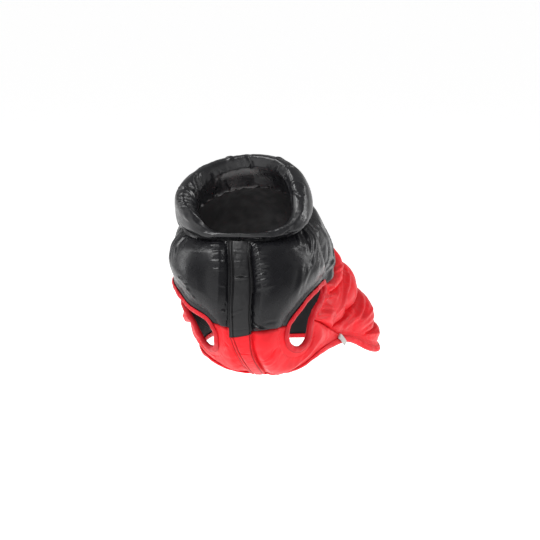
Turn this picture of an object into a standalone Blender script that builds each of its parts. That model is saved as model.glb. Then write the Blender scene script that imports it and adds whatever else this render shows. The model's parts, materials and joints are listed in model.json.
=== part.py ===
"""Padded sleeveless dog jacket, held in the shape it has when worn.

Metres, +Z up. The chest faces -Y and the wearer's left side is +X. The origin is the centre of the
neck ring. Every cut piece is its own closed solid: a wall whose plain inside follows one body
form, and whose outside is raised by its padding, its quilted channels and its largest folds.
A point on the form is given by s, from the neck ring (0) down to the hem (about 1), and by an
angle round the body, from the centre front (0) to the wearer's left (+90) and the spine (180).
"""
import math

import bmesh
import bpy
import numpy as np

COLLECTION_NAME = "dog_jacket"

# ---- Body form: one row for each ring of the inner surface, in metres ----
# columns: s, centre_x, front_y, front_z, back_y, back_z, half_width, widest, front_n, back_n
# widest is the share of the depth, from the front, where the ring is widest; front_n and back_n are
# the powers of its two half superellipses
SECTIONS = [
    (0.00, 0.000, -0.047, -0.022, 0.047, 0.022, 0.058, 0.50, 2.0, 2.0),
    (0.15, -0.001, -0.064, -0.046, 0.076, 0.007, 0.068, 0.46, 2.1, 1.85),
    (0.30, 0.000, -0.076, -0.074, 0.108, -0.022, 0.076, 0.42, 2.2, 1.80),
    (0.45, 0.001, -0.081, -0.100, 0.141, -0.051, 0.079, 0.40, 2.2, 1.95),
    (0.60, 0.006, -0.077, -0.124, 0.170, -0.082, 0.074, 0.44, 2.2, 2.2),
    (0.75, 0.010, -0.064, -0.146, 0.192, -0.114, 0.072, 0.50, 2.2, 2.4),
    (0.90, 0.012, -0.036, -0.166, 0.209, -0.148, 0.077, 0.56, 2.2, 2.4),
    (1.00, 0.011, -0.010, -0.176, 0.218, -0.170, 0.080, 0.58, 2.2, 2.4),
    (1.10, 0.009, 0.018, -0.184, 0.224, -0.192, 0.082, 0.60, 2.2, 2.4),
]
TURN = math.radians(14)              # the rear is turned to the wearer's left
TURN_FROM_Y, TURN_TO_Y = -0.02, 0.18

# ---- Seam and edge lines on the form ----
# columns: degrees, s
NECK = [(0, 0.040), (60, 0.064), (120, 0.060), (180, 0.050), (240, 0.075), (285, 0.108), (318, 0.068)]
# columns: degrees from the centre front, left_s, right_s
HEM = [
    (0, 1.046, 1.046),
    (15, 1.062, 1.008),
    (30, 1.000, 0.935),
    (47, 0.908, 0.890),
    (66, 0.882, 0.880),
    (78, 0.885, 0.885),
    (86, 0.907, 0.905),
    (93, 0.969, 0.965),
    (102, 1.017, 1.012),
    (125, 1.036, 1.035),
    (152, 1.030, 1.030),
    (180, 1.030, 1.030),
]
# columns: left_s, left_degrees, right_s, right_degrees
ARMHOLE = [
    (0.485, 92.0, 0.485, 92.0),      # rear tip, where the shoulder and yoke seams meet
    (0.454, 82.0, 0.436, 81.0),
    (0.449, 70.0, 0.427, 67.0),
    (0.466, 58.0, 0.447, 52.0),
    (0.505, 49.5, 0.486, 42.0),
    (0.588, 38.2, 0.548, 26.0),      # end of the chest seam
    (0.640, 35.6, 0.603, 24.8),
    (0.690, 34.6, 0.662, 26.0),
    (0.758, 36.5, 0.745, 30.0),
    (0.782, 43.0, 0.782, 39.0),
    (0.750, 50.0, 0.755, 48.0),
    (0.680, 55.5, 0.685, 55.5),
    (0.610, 60.0, 0.610, 60.0),      # start of the side seam
    (0.555, 70.0, 0.555, 70.0),
    (0.527, 84.0, 0.527, 84.0),
]
TIP, CHEST_END, SIDE_START = 0, 5, 12    # rows of ARMHOLE where seams meet the edge
CHEST_CENTRE_S = 0.608
CHEST_SEAM_RISE = 0.012              # by which the chest seam curves upwards
SHOULDER_DEGREES = 85.0              # where the shoulder seam leaves the neck
# columns: s, degrees; between the armhole and the hem
SIDE_SEAM = [(0.695, 71.5), (0.772, 77.5), (0.835, 81.5)]
SIDE_END_DEGREES = 86.0
# columns: s, degrees; between the armhole tip and the spine
YOKE_SEAM = [(0.506, 106.0), (0.497, 120.0), (0.472, 141.0), (0.458, 162.0), (0.455, 180.0)]

# ---- Walls ----
SEAM_GAP = 0.0003
EDGE = 0.003                         # wall at every seam and edge
CHEST_PADDING = 0.0075
YOKE_PADDING = 0.0075
BACK_PADDING = 0.0105
BELLY_PADDING = 0.0045
SEAM_ROUND = 0.013                   # from a seam to full padding
BOUND_FLAT, BOUND_ROUND = 0.008, 0.018    # flat beside a bound edge, then the rise to full padding
NECK_FLAT, NECK_ROUND = 0.002, 0.020      # the same under the collar
STRIP_ROUND = math.radians(13)            # the same beside the front strip
BELLY_HEM_SHARE = 0.02               # part of the belly's hem that lies under the chest seam
LAID_ON = 0.0004                     # clearance of what lies on a panel

# ---- Quilted channels of the back: fraction of the panel's length at side seam and spine ----
# columns: at_side, at_spine, rows_below
CHANNELS = [(0.00, 0.00, 3), (0.08, 0.17, 6), (0.58, 0.40, 6), (0.84, 0.72, 4), (0.91, 0.955, 1),
            (1.00, 1.00, 0)]
CHANNEL_POWER = 0.65

# ---- Largest folds, as ridges along a line on the form ----
# columns: panel, start_s, start_degrees, end_s, end_degrees, width, height
FOLDS = [
    ("front_left", 0.12, 58.0, 0.40, 69.0, 0.0055, 0.0024),
    ("front_left", 0.11, 70.0, 0.42, 79.0, 0.0055, 0.0028),
    ("front_left", 0.14, 80.0, 0.45, 87.0, 0.0050, 0.0024),
    ("front_right", 0.16, -62.0, 0.38, -72.0, 0.0055, 0.0022),
    ("front_right", 0.18, -76.0, 0.42, -84.0, 0.0055, 0.0022),
    ("yoke_back", 0.16, 100.0, 0.44, 112.0, 0.0070, 0.0024),
    ("yoke_back", 0.16, -100.0, 0.44, -112.0, 0.0070, 0.0024),
]

# ---- Collar: one row for each section, from the left end round to the right end ----
# columns: degrees, rise, bulge, lean, thickness
COLLAR = [
    (0, 0.007, 0.001, 0.001, 0.006),
    (20, 0.007, 0.002, 0.001, 0.008),
    (42, 0.010, 0.003, 0.002, 0.011),
    (60, 0.017, 0.004, 0.003, 0.014),
    (80, 0.027, 0.001, 0.008, 0.015),
    (110, 0.039, 0.001, 0.011, 0.016),
    (150, 0.045, 0.005, 0.008, 0.018),
    (180, 0.046, 0.006, 0.008, 0.018),
    (225, 0.047, 0.004, 0.006, 0.018),
    (262, 0.047, 0.001, 0.002, 0.018),
    (292, 0.042, -0.001, 0.000, 0.017),
    (310, 0.030, 0.000, 0.000, 0.014),
    (323, 0.014, 0.003, 0.003, 0.012),
    (340, 0.007, 0.002, 0.001, 0.008),
    (360, 0.007, 0.001, 0.001, 0.006),
]
COLLAR_OPENING = math.radians(0.6)   # half the gap between the collar's two ends
COLLAR_HEIGHTS = [0.0, 0.14, 0.38, 0.62, 0.84]
COLLAR_LIFT = EDGE + 0.0012          # outside of the collar above the panels that it rolls over

# ---- Front strip, its red tail, bindings and tab ----
# columns: right_s, right_degrees, left_s, left_degrees
STRIP = [(0.066, -11.0, 0.066, 10.1), (0.20, -6.9, 0.19, 11.6), (0.36, -6.0, 0.34, 12.1),
         (0.50, -7.6, 0.47, 10.2), (0.628, -11.4, 0.600, 7.4)]
STRIP_TAIL = [(0.631, -11.3, 0.603, 7.3), (0.72, -10.5, 0.70, 5.4), (0.80, -9.0, 0.785, 4.7),
              (0.90, -6.7, 0.88, 5.6), (1.01, -4.6, 1.01, 6.5)]
STRIP_THICKNESS = 0.0025
STRIP_CLEAR_DEGREES = 1.0            # beyond the strip's edges, where the panel stays thin
# columns: inward, height; section round a panel edge, in metres
BINDING = [
    (0.0048, EDGE + 0.0006), (0.0048, EDGE + 0.0015), (-0.0006, EDGE + 0.0016), (-0.0018, EDGE / 2),
    (-0.0006, -0.0015), (0.0045, -0.0013), (0.0045, -0.0005), (-LAID_ON, -0.0005),
    (-LAID_ON, EDGE + 0.0006),
]
# columns: s, degrees, height; along the tab, above the form
TAB = [(0.841, 78.6, EDGE + 0.0010), (0.854, 78.3, EDGE + 0.0027), (0.897, 77.4, EDGE + 0.0029)]
TAB_WIDTH, TAB_THICKNESS = 0.0065, 0.0011

# ---- Mesh density ----
CHEST_STEPS, ARM_FRONT_STEPS, ARM_LOW_STEPS, ARM_REAR_STEPS = 7, 11, 12, 7
YOKE_STEPS, FRONT_ROWS, BELLY_ROWS = 26, 13, 10
COLLAR_STATIONS, STRIP_STATIONS, STRIP_POINTS = 44, 14, 6
NEAREST_STEPS = 240                  # samples of a line when the distance to it is measured

BELLY_FAN = 1.7                      # how closely the columns below the armhole start at the front
BELLY_FAN_SHARES = np.linspace(0, 1, ARM_LOW_STEPS + 1)[1:]**BELLY_FAN
BELLY_HEM_SPREAD = BELLY_HEM_SHARE + (1 - BELLY_HEM_SHARE) * BELLY_FAN_SHARES
BELLY_REACH = 3                      # how fast the bend of the side seam fades across the belly

# ---- Materials: colour, roughness, metallic ----
BLACK_SHELL = ((0.012, 0.012, 0.014), 0.32, 0.0)
RED_SHELL = ((0.72, 0.012, 0.022), 0.42, 0.0)
RED_TAPE = ((0.60, 0.008, 0.020), 0.50, 0.0)
GREY_TAPE = ((0.45, 0.45, 0.43), 0.60, 0.0)


def natural_spline(knots, values):
    """Cubic through the values with free ends, as a function of the knot value."""
    x = np.asarray(knots, float)
    y = np.asarray(values, float).reshape(len(x), -1)
    step = np.diff(x)
    system = np.eye(len(x))
    right = np.zeros_like(y)
    for i in range(1, len(x) - 1):
        system[i, i - 1:i + 2] = step[i - 1], 2 * (step[i - 1] + step[i]), step[i]
        right[i] = 6 * ((y[i + 1] - y[i]) / step[i] - (y[i] - y[i - 1]) / step[i - 1])
    bend = np.linalg.solve(system, right)

    def at(t):
        t = np.asarray(t, float)
        i = np.clip(np.searchsorted(x, t) - 1, 0, len(x) - 2)
        h = step[i][..., None]
        a = (x[i + 1] - t)[..., None] / h
        b = (t - x[i])[..., None] / h
        return a * y[i] + b * y[i + 1] + ((a**3 - a) * bend[i] + (b**3 - b) * bend[i + 1]) * h**2 / 6
    return at


def looped(rows, turn=0.0):
    """Rows of a closed table with three more at each end, whose first column moves on by a turn."""
    rows = np.asarray(rows, float)
    before, after = rows[-3:].copy(), rows[:3].copy()
    before[:, 0] -= turn
    after[:, 0] += turn
    return np.vstack([before, rows, after])


section_at = natural_spline([row[0] for row in SECTIONS], [row[1:] for row in SECTIONS])


def form(s, angle):
    """Point of the body form: a ring of two half superellipses, with the rear turned."""
    s, angle = np.broadcast_arrays(np.asarray(s, float), np.asarray(angle, float))
    row = np.moveaxis(section_at(s), -1, 0)
    centre_x, front_y, front_z, back_y, back_z, half, widest, front_n, back_n = row
    ahead, aside = np.cos(angle), np.sin(angle)
    power = np.where(ahead >= 0, front_n, back_n)
    radius = (np.abs(ahead)**power + np.abs(aside)**power)**(-1 / power)
    depth = np.where(ahead >= 0, widest * (1 - radius * ahead), widest - (1 - widest) * radius * ahead)
    x = centre_x + half * radius * aside
    y = front_y + (back_y - front_y) * depth - TURN_FROM_Y
    z = front_z + (back_z - front_z) * depth
    share = np.clip(y / (TURN_TO_Y - TURN_FROM_Y), 0, 1)
    turn = TURN * share**2 * (3 - 2 * share)
    return np.stack([x * np.cos(turn) + y * np.sin(turn),
                     TURN_FROM_Y + y * np.cos(turn) - x * np.sin(turn), z], -1)


def slopes(s, angle):
    """Change of the form's point with s and with the angle."""
    e = 1e-4
    return ((form(s + e, angle) - form(s - e, angle)) / (2 * e),
            (form(s, angle + e) - form(s, angle - e)) / (2 * e))


def outward(s, angle):
    """Unit normal of the form, away from the body."""
    normal = np.cross(*slopes(s, angle))
    return normal / np.linalg.norm(normal, axis=-1, keepdims=True)


def raised(line, height):
    """Points above the form at (s, angle) rows."""
    s, angle = line[..., 0], line[..., 1]
    return form(s, angle) + outward(s, angle) * np.asarray(height)[..., None]


def shifted(line, direction, distance):
    """(s, angle) rows after a walk over the form along a 3-D direction."""
    by_s, by_angle = slopes(line[:, 0], line[:, 1])
    frame = np.stack([by_s, by_angle], -1)
    return line + np.einsum("nij,nj->ni", np.linalg.pinv(frame), direction * distance)


def along(line, fractions):
    """Points of an (s, angle) line at fractions of its length on the form."""
    lengths = np.linalg.norm(np.diff(form(line[:, 0], line[:, 1]), axis=0), axis=1)
    travelled = np.concatenate([[0], np.cumsum(lengths)]) / lengths.sum()
    return np.stack([np.interp(fractions, travelled, line[:, k]) for k in (0, 1)], -1)


def evenly(line, steps):
    return along(line, np.linspace(0, 1, steps + 1))


def smooth_line(rows, samples=40):
    """Dense (s, angle) line through rows of s and degrees, smooth along their length."""
    rows = np.asarray(rows, float)
    rows[:, 1] = np.radians(rows[:, 1])
    chords = np.linalg.norm(np.diff(form(rows[:, 0], rows[:, 1]), axis=0), axis=1)
    knots = np.concatenate([[0], np.cumsum(chords)])
    return natural_spline(knots, rows)(np.linspace(0, knots[-1], samples * (len(rows) - 1) + 1))


# ---------------------------------------------------------------- seam lines, by side (+1 left, -1 right)
neck_rows = looped(NECK, 360)
neck_height = natural_spline(neck_rows[:, 0], neck_rows[:, 1])
hem_rows = [(-d, right) for d, _, right in HEM[:0:-1]] + [(d, left) for d, left, _ in HEM]
hem_rows = looped(hem_rows[1:], 360)
hem_height = natural_spline(hem_rows[:, 0], hem_rows[:, 1])


def neck_line(start_degrees, end_degrees, samples=160):
    degrees = np.linspace(start_degrees, end_degrees, samples)
    return np.stack([neck_height(degrees % 360)[:, 0], np.radians(degrees)], -1)


def hem_line(start_degrees, end_degrees, samples=240):
    degrees = np.linspace(start_degrees, end_degrees, samples)
    wrapped = (degrees + 180) % 360 - 180
    return np.stack([hem_height(wrapped)[:, 0], np.radians(degrees)], -1)


def armhole_arc(side, first, last, samples=40):
    """Edge of one armhole between two rows of ARMHOLE; it runs front, bottom, rear."""
    pick = (0, 1) if side > 0 else (2, 3)
    rows = np.asarray(ARMHOLE, float)[:, pick] * (1, side)
    loop = looped(rows)
    loop[:, 1] = np.radians(loop[:, 1])
    chords = np.linalg.norm(np.diff(form(loop[:, 0], loop[:, 1]), axis=0), axis=1)
    knots = np.concatenate([[0], np.cumsum(chords)])
    end = last if last > first else last + len(rows)
    travel = np.linspace(knots[first + 3], knots[end + 3], samples * (end - first) + 1)
    return natural_spline(knots, loop)(travel)


def shoulder_line(side):
    top = neck_line(side * SHOULDER_DEGREES, side * SHOULDER_DEGREES, 1)[0]
    tip = armhole_arc(side, TIP, CHEST_END)[0]
    return top + (tip - top) * np.linspace(0, 1, 60)[:, None]


def chest_line(side):
    end = armhole_arc(side, CHEST_END, SIDE_START)[0]
    start = np.array([CHEST_CENTRE_S, 0.0])
    share = np.linspace(0, 1, 40)[:, None]
    return start + (end - start) * share - np.sin(np.pi * share) * (CHEST_SEAM_RISE, 0)


def side_line(side):
    start = armhole_arc(side, SIDE_START, TIP)[0]
    end = hem_line(side * SIDE_END_DEGREES, side * SIDE_END_DEGREES, 1)[0]
    rows = [(start[0], math.degrees(start[1]))]
    rows += [(s, side * degrees) for s, degrees in SIDE_SEAM]
    rows += [(end[0], math.degrees(end[1]))]
    return smooth_line(rows)


def yoke_line():
    """Seam from the left armhole tip over the spine to the right one; angles run past 180."""
    left, right = (armhole_arc(side, TIP, CHEST_END)[0] for side in (1, -1))
    rows = [(left[0], math.degrees(left[1]))] + YOKE_SEAM
    rows += [(s, 360 - degrees) for s, degrees in YOKE_SEAM[-2::-1]]
    rows += [(right[0], 360 + math.degrees(right[1]))]
    return smooth_line(rows)


def centre_line(start_s, end_s):
    s = np.linspace(start_s, end_s, 60)
    return np.stack([s, np.zeros_like(s)], -1)


# ---------------------------------------------------------------- panels
def patch(top, bottom, left, right, reach=1):
    """Grid of (s, angle) points between four edges; top and left start at one corner.

    Its columns are straight from top to bottom, but for the bend of the left and right edges,
    which fades across the grid. A reach of 1 makes a Coons patch.
    """
    u = np.linspace(0, 1, len(top))[None, :, None]
    v = np.linspace(0, 1, len(left))[:, None]
    left_bend = left - (1 - v) * left[0] - v * left[-1]
    right_bend = right - (1 - v) * right[0] - v * right[-1]
    columns = (1 - v)[:, None] * top[None] + v[:, None] * bottom[None]
    return columns + (1 - u)**reach * left_bend[:, None] + u**reach * right_bend[:, None]


def nearest(points, lines):
    """Distance in metres from each (s, angle) point to the nearest of some lines."""
    dense = np.concatenate([evenly(line, NEAREST_STEPS) for line in lines])
    spots = form(dense[:, 0], dense[:, 1])
    flat = form(points[..., 0], points[..., 1]).reshape(-1, 1, 3)
    return np.linalg.norm(flat - spots[None], axis=2).min(1).reshape(points.shape[:-1])


def rounded(share):
    """Quarter of a round edge, from 0 at a seam to 1 where the padding is full."""
    return np.sqrt(1 - (1 - np.clip(share, 0, 1))**2)


def eased(share):
    """Soft rise from 0 to 1."""
    share = np.clip(share, 0, 1)
    return share**2 * (3 - 2 * share)


def padding(points, depth, seams, with_hem=False, with_neck=False):
    """Height of a padded panel's outside: round at its seams, flat next to bound edges."""
    full = rounded(nearest(points, seams) / SEAM_ROUND)
    bound = [armhole_arc(side, TIP, TIP) + (0, turn) for side, turn in ((1, 0), (-1, 0), (-1, math.tau))]
    if with_hem:
        bound.append(hem_line(0, 360))
    full = np.minimum(full, eased((nearest(points, bound) - BOUND_FLAT) / BOUND_ROUND))
    if with_neck:
        full = np.minimum(full, eased((nearest(points, [neck_line(0, 360)]) - NECK_FLAT) / NECK_ROUND))
    return depth * full


def beside_strip(points, side):
    """Share of the padding next to the front strip, which lies on a thin middle."""
    right_s, right_degrees, left_s, left_degrees = np.transpose(STRIP + STRIP_TAIL)
    s, degrees = (right_s, -right_degrees) if side < 0 else (left_s, left_degrees)
    clear = np.radians(np.interp(points[..., 0], s, degrees) + STRIP_CLEAR_DEGREES)
    return eased((np.abs(points[..., 1]) - clear) / STRIP_ROUND)


def folds(name, points):
    """Sum of a panel's ridges, each fading at both ends of its line."""
    height = np.zeros(points.shape[:-1])
    spots = form(points[..., 0], points[..., 1])
    for panel, start_s, start_degrees, end_s, end_degrees, width, rise in FOLDS:
        if panel != name:
            continue
        start = form(start_s, math.radians(start_degrees))
        run = form(end_s, math.radians(end_degrees)) - start
        share = (spots - start) @ run / (run @ run)
        away = np.linalg.norm(spots - start - np.clip(share, 0, 1)[..., None] * run, axis=-1)
        fade = np.sin(np.pi * np.clip(share, 0, 1))**0.5
        height += rise * fade * np.exp(-(away / width)**2)
    return height


def seam_inset(points):
    """Shift of each border point of a grid away from the border, half a seam gap in each direction."""
    s, angle = points[..., 0], points[..., 1]
    spots, normal = form(s, angle), outward(s, angle)
    shift = np.zeros_like(spots)
    for border, inner in (((0, slice(None)), (1, slice(None))), ((-1, slice(None)), (-2, slice(None))),
                          ((slice(None), 0), (slice(None), 1)), ((slice(None), -1), (slice(None), -2))):
        line = spots[border]
        inward = np.cross(normal[border], np.gradient(line, axis=0))
        inward /= np.linalg.norm(inward, axis=1, keepdims=True)
        towards = np.sign(np.sum(inward * (spots[inner] - line), axis=1, keepdims=True))
        shift[border] += inward * towards * SEAM_GAP / 2
    return shift


def solid(name, vertices, faces, finish, collection):
    """Closed mesh object with its own material."""
    mesh = bpy.data.meshes.new(name)
    mesh.from_pydata([tuple(point) for point in vertices], [], faces)
    shape = bmesh.new()
    shape.from_mesh(mesh)
    bmesh.ops.triangulate(shape, faces=shape.faces)
    bmesh.ops.recalc_face_normals(shape, faces=shape.faces)
    shape.to_mesh(mesh)
    shape.free()
    mesh.shade_smooth()
    mesh.set_sharp_from_angle(angle=math.radians(50))
    item = bpy.data.objects.new(name, mesh)
    collection.objects.link(item)
    colour, roughness, metallic = finish
    material = bpy.data.materials.new(name)
    material.use_nodes = True
    shader = material.node_tree.nodes["Principled BSDF"]
    shader.inputs["Base Color"].default_value = (*colour, 1)
    shader.inputs["Roughness"].default_value = roughness
    shader.inputs["Metallic"].default_value = metallic
    mesh.materials.append(material)
    return item


def wall(name, points, height, finish, collection):
    """Panel: a plain inner skin on the form and an outer one raised over it, closed round the rim."""
    rows, columns = points.shape[:2]
    shift = seam_inset(points)
    inner = raised(points, np.zeros((rows, columns))) + shift
    outer = raised(points, EDGE + height) + shift
    count = rows * columns
    vertices = np.concatenate([outer.reshape(-1, 3), inner.reshape(-1, 3)])

    def at(i, j):
        return i * columns + j
    faces = []
    for i in range(rows - 1):
        for j in range(columns - 1):
            quad = (at(i, j), at(i, j + 1), at(i + 1, j + 1), at(i + 1, j))
            faces.append(quad)
            faces.append(tuple(count + k for k in reversed(quad)))
    rim = [at(0, j) for j in range(columns)]
    rim += [at(i, columns - 1) for i in range(1, rows)]
    rim += [at(rows - 1, j) for j in range(columns - 2, -1, -1)]
    rim += [at(i, 0) for i in range(rows - 2, 0, -1)]
    for k, current in enumerate(rim):
        following = rim[(k + 1) % len(rim)]
        faces.append((current, count + current, count + following, following))
    return solid(name, vertices, faces, finish, collection)


def loft(name, rings, closed, finish, collection):
    """Solid through a row of equal rings, which joins up with itself or has a cap at each end."""
    stations, size = rings.shape[:2]
    faces = []
    for i in range(stations if closed else stations - 1):
        following = (i + 1) % stations
        for k in range(size):
            after = (k + 1) % size
            faces.append((i * size + k, i * size + after, following * size + after, following * size + k))
    if not closed:
        faces.append(tuple(range(size)))
        faces.append(tuple((stations - 1) * size + k for k in reversed(range(size))))
    return solid(name, rings.reshape(-1, 3), faces, finish, collection)


def front(side, name, collection):
    """Black chest panel from the centre front to the shoulder and the armhole."""
    bottom = np.vstack([evenly(chest_line(side), CHEST_STEPS),
                        evenly(armhole_arc(side, TIP, CHEST_END)[::-1], ARM_FRONT_STEPS)[1:]])
    neck = neck_line(0, side * SHOULDER_DEGREES)
    centre = centre_line(neck[0, 0], CHEST_CENTRE_S)
    shoulder = shoulder_line(side)
    points = patch(evenly(neck, len(bottom) - 1), bottom, evenly(centre, FRONT_ROWS),
                   evenly(shoulder, FRONT_ROWS))
    height = padding(points, CHEST_PADDING, [shoulder, chest_line(side)], with_neck=True)
    height *= beside_strip(points, side)
    height += folds(name, points) * height / CHEST_PADDING
    return wall(name, points, height, BLACK_SHELL, collection)


def yoke_back(collection):
    """Black panel over the withers, from one shoulder seam to the other."""
    seam = yoke_line()
    neck = neck_line(SHOULDER_DEGREES, 360 - SHOULDER_DEGREES)
    left, right = shoulder_line(1), shoulder_line(-1) + (0, math.tau)
    points = patch(evenly(neck, YOKE_STEPS), evenly(seam, YOKE_STEPS), evenly(left, FRONT_ROWS),
                   evenly(right, FRONT_ROWS))
    height = padding(points, YOKE_PADDING, [seam, left, right], with_neck=True)
    height += folds("yoke_back", points) * height / YOKE_PADDING
    return wall("yoke_back", points, height, BLACK_SHELL, collection)


def channel_rows():
    """Row fractions at the side seam and at the spine, and how full each row's channel is there."""
    rows = []
    for (side_a, spine_a, steps), (side_b, spine_b, _) in zip(CHANNELS, CHANNELS[1:]):
        for k in range(steps):
            share = k / steps
            full = math.sin(math.pi * share)**CHANNEL_POWER
            rows.append((side_a + (side_b - side_a) * share, spine_a + (spine_b - spine_a) * share, full))
    rows.append((1.0, 1.0, 0.0))
    return np.array(rows)


def body_back(collection):
    """Red quilted panel round the back, from one side seam to the other."""
    seam = yoke_line()
    rear_left = armhole_arc(1, SIDE_START, TIP)
    rear_right = armhole_arc(-1, SIDE_START, TIP)[::-1] + (0, math.tau)
    top = np.vstack([evenly(rear_left, ARM_REAR_STEPS), evenly(seam, YOKE_STEPS)[1:],
                     evenly(rear_right, ARM_REAR_STEPS)[1:]])
    hem = hem_line(SIDE_END_DEGREES, 360 - SIDE_END_DEGREES)
    left, right = side_line(1), side_line(-1) + (0, math.tau)
    fine_steps = 80
    fine = patch(top, evenly(hem, len(top) - 1), evenly(left, fine_steps), evenly(right, fine_steps))
    at_side, at_spine, full = channel_rows().T
    over = np.sin(np.linspace(0, np.pi, len(top)))**0.8
    fractions = at_side[:, None] + (at_spine - at_side)[:, None] * over[None]
    levels = np.linspace(0, 1, fine_steps + 1)
    points = np.empty((len(full), len(top), 2))
    for j in range(len(top)):
        for k in (0, 1):
            points[:, j, k] = np.interp(fractions[:, j], levels, fine[:, j, k])
    height = padding(points, BACK_PADDING, [left, right], with_hem=True)
    return wall("body_back", points, height * full[:, None], RED_SHELL, collection)


def belly(side, name, collection):
    """Red panel under the chest seam, round the lower armhole to the side seam."""
    armhole = armhole_arc(side, CHEST_END, SIDE_START)
    top = np.vstack([evenly(chest_line(side), CHEST_STEPS), evenly(armhole, ARM_LOW_STEPS)[1:]])
    hem = hem_line(0, side * SIDE_END_DEGREES)
    centre = centre_line(CHEST_CENTRE_S, hem[0, 0])
    seam = side_line(side)
    under_chest = np.linspace(0, BELLY_HEM_SHARE, CHEST_STEPS + 1)
    bottom = along(hem, np.concatenate([under_chest, BELLY_HEM_SPREAD]))
    points = patch(top, bottom, evenly(centre, BELLY_ROWS), evenly(seam, BELLY_ROWS), BELLY_REACH)
    height = padding(points, BELLY_PADDING, [chest_line(side), seam], with_hem=True)
    height *= beside_strip(points, side)
    return wall(name, points, height, RED_SHELL, collection)


# ---------------------------------------------------------------- collar, strip, bindings, tab
def collar(collection):
    """Puffed stand collar that rolls outward over the neck seam, low at the front."""
    angles = np.linspace(COLLAR_OPENING, math.tau - COLLAR_OPENING, COLLAR_STATIONS)
    table = np.asarray(COLLAR, float)
    rise, bulge, lean, thickness = natural_spline(table[:, 0], table[:, 1:])(np.degrees(angles)).T
    line = np.stack([neck_height(np.degrees(angles))[:, 0], angles], -1)
    upward = form(0.0, 0.0) - form(0.0, math.pi)
    upward = np.cross(upward / np.linalg.norm(upward), (1, 0, 0))
    upward *= np.sign(upward[2])
    normal = outward(line[:, 0], line[:, 1])
    aside = normal - (normal @ upward)[:, None] * upward
    aside /= np.linalg.norm(aside, axis=1, keepdims=True)
    neckward = -slopes(line[:, 0], line[:, 1])[0]
    neckward /= np.linalg.norm(neckward, axis=1, keepdims=True)
    base = form(line[:, 0], line[:, 1]) + neckward * SEAM_GAP
    outer, inner = [], []
    for level in COLLAR_HEIGHTS:
        middle = bulge * math.sin(math.pi * min(level / 0.9, 1)) - lean * level**2
        half = thickness / 2 * math.sin(math.pi * (0.14 + 0.76 * level))**0.6
        start = base + upward * (rise * level)[:, None]
        if level == 0:
            outer.append(base + normal * EDGE)
            inner.append(base)
        else:
            outer.append(start + normal * COLLAR_LIFT + aside * (middle + half - COLLAR_LIFT / 2)[:, None])
            inner.append(start + aside * (middle - half)[:, None])
    top = base + normal * EDGE / 2 + upward * rise[:, None] - aside * lean[:, None]
    rings = np.stack([*outer, top, *inner[::-1]], 1)
    return loft("collar", rings, False, BLACK_SHELL, collection)


def strip(name, rows, finish, collection):
    """Flat strip over the centre front, on the thin middle of the panels."""
    table = np.asarray(rows, float)
    table[:, [1, 3]] = np.radians(table[:, [1, 3]])
    stations = np.linspace(table[0, 0], table[-1, 0], STRIP_STATIONS)
    edges = natural_spline(table[:, 0], table)(stations)
    rings = []
    for right_s, right, left_s, left in edges:
        line = np.linspace((right_s, right), (left_s, left), STRIP_POINTS)
        low = raised(line, np.full(STRIP_POINTS, EDGE + LAID_ON))
        high = raised(line, np.full(STRIP_POINTS, EDGE + LAID_ON + STRIP_THICKNESS))
        rings.append(np.vstack([low, high[::-1]]))
    return loft(name, np.array(rings), False, finish, collection)


def binding(name, edge, finish, collection):
    """Tape folded round a closed edge; the edge line is one (s, angle) row for each station."""
    spots = form(edge[:, 0], edge[:, 1])
    tangent = np.roll(spots, -1, 0) - np.roll(spots, 1, 0)
    inward = np.cross(outward(edge[:, 0], edge[:, 1]), tangent)
    inward /= np.linalg.norm(inward, axis=1, keepdims=True)
    rings = []
    for distance, height in BINDING:
        line = shifted(edge, inward, distance)
        rings.append(raised(line, np.full(len(line), height)))
    return loft(name, np.stack(rings, 1), True, finish, collection)


def armhole_binding(side, name, collection):
    arcs = [(TIP, CHEST_END, ARM_FRONT_STEPS), (CHEST_END, SIDE_START, ARM_LOW_STEPS),
            (SIDE_START, TIP, ARM_REAR_STEPS)]
    edge = np.vstack([evenly(armhole_arc(side, first, last), steps)[:-1] for first, last, steps in arcs])
    return binding(name, edge[::-1] if side > 0 else edge, RED_TAPE, collection)


def hem_binding(collection):
    """Tape round the whole hem, with its stations at the panels' own hem points."""
    belly_stations = np.concatenate([[0, BELLY_HEM_SHARE], BELLY_HEM_SPREAD])
    left, right = (along(hem_line(0, side * SIDE_END_DEGREES), belly_stations) for side in (1, -1))
    back = evenly(hem_line(SIDE_END_DEGREES, 360 - SIDE_END_DEGREES), YOKE_STEPS + 2 * ARM_REAR_STEPS)
    edge = np.vstack([left[:-1], back[:-1], right[:0:-1] + (0, math.tau)])
    return binding("hem_binding", edge, RED_TAPE, collection)


def label_tab(collection):
    """Short blank tape sewn into the wearer's left side seam above the hem."""
    table = np.asarray(TAB, float)
    line = np.stack([table[:, 0], np.radians(table[:, 1])], -1)
    spots = form(line[:, 0], line[:, 1])
    run = np.gradient(spots, axis=0)
    across = np.cross(outward(line[:, 0], line[:, 1]), run)
    across /= np.linalg.norm(across, axis=1, keepdims=True)
    rings = []
    for turn, lift in ((-0.5, 0), (0.5, 0), (0.5, TAB_THICKNESS), (-0.5, TAB_THICKNESS)):
        rings.append(raised(line, table[:, 2] + lift) + across * turn * TAB_WIDTH)
    return loft("label_tab", np.stack(rings, 1), False, GREY_TAPE, collection)


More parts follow.
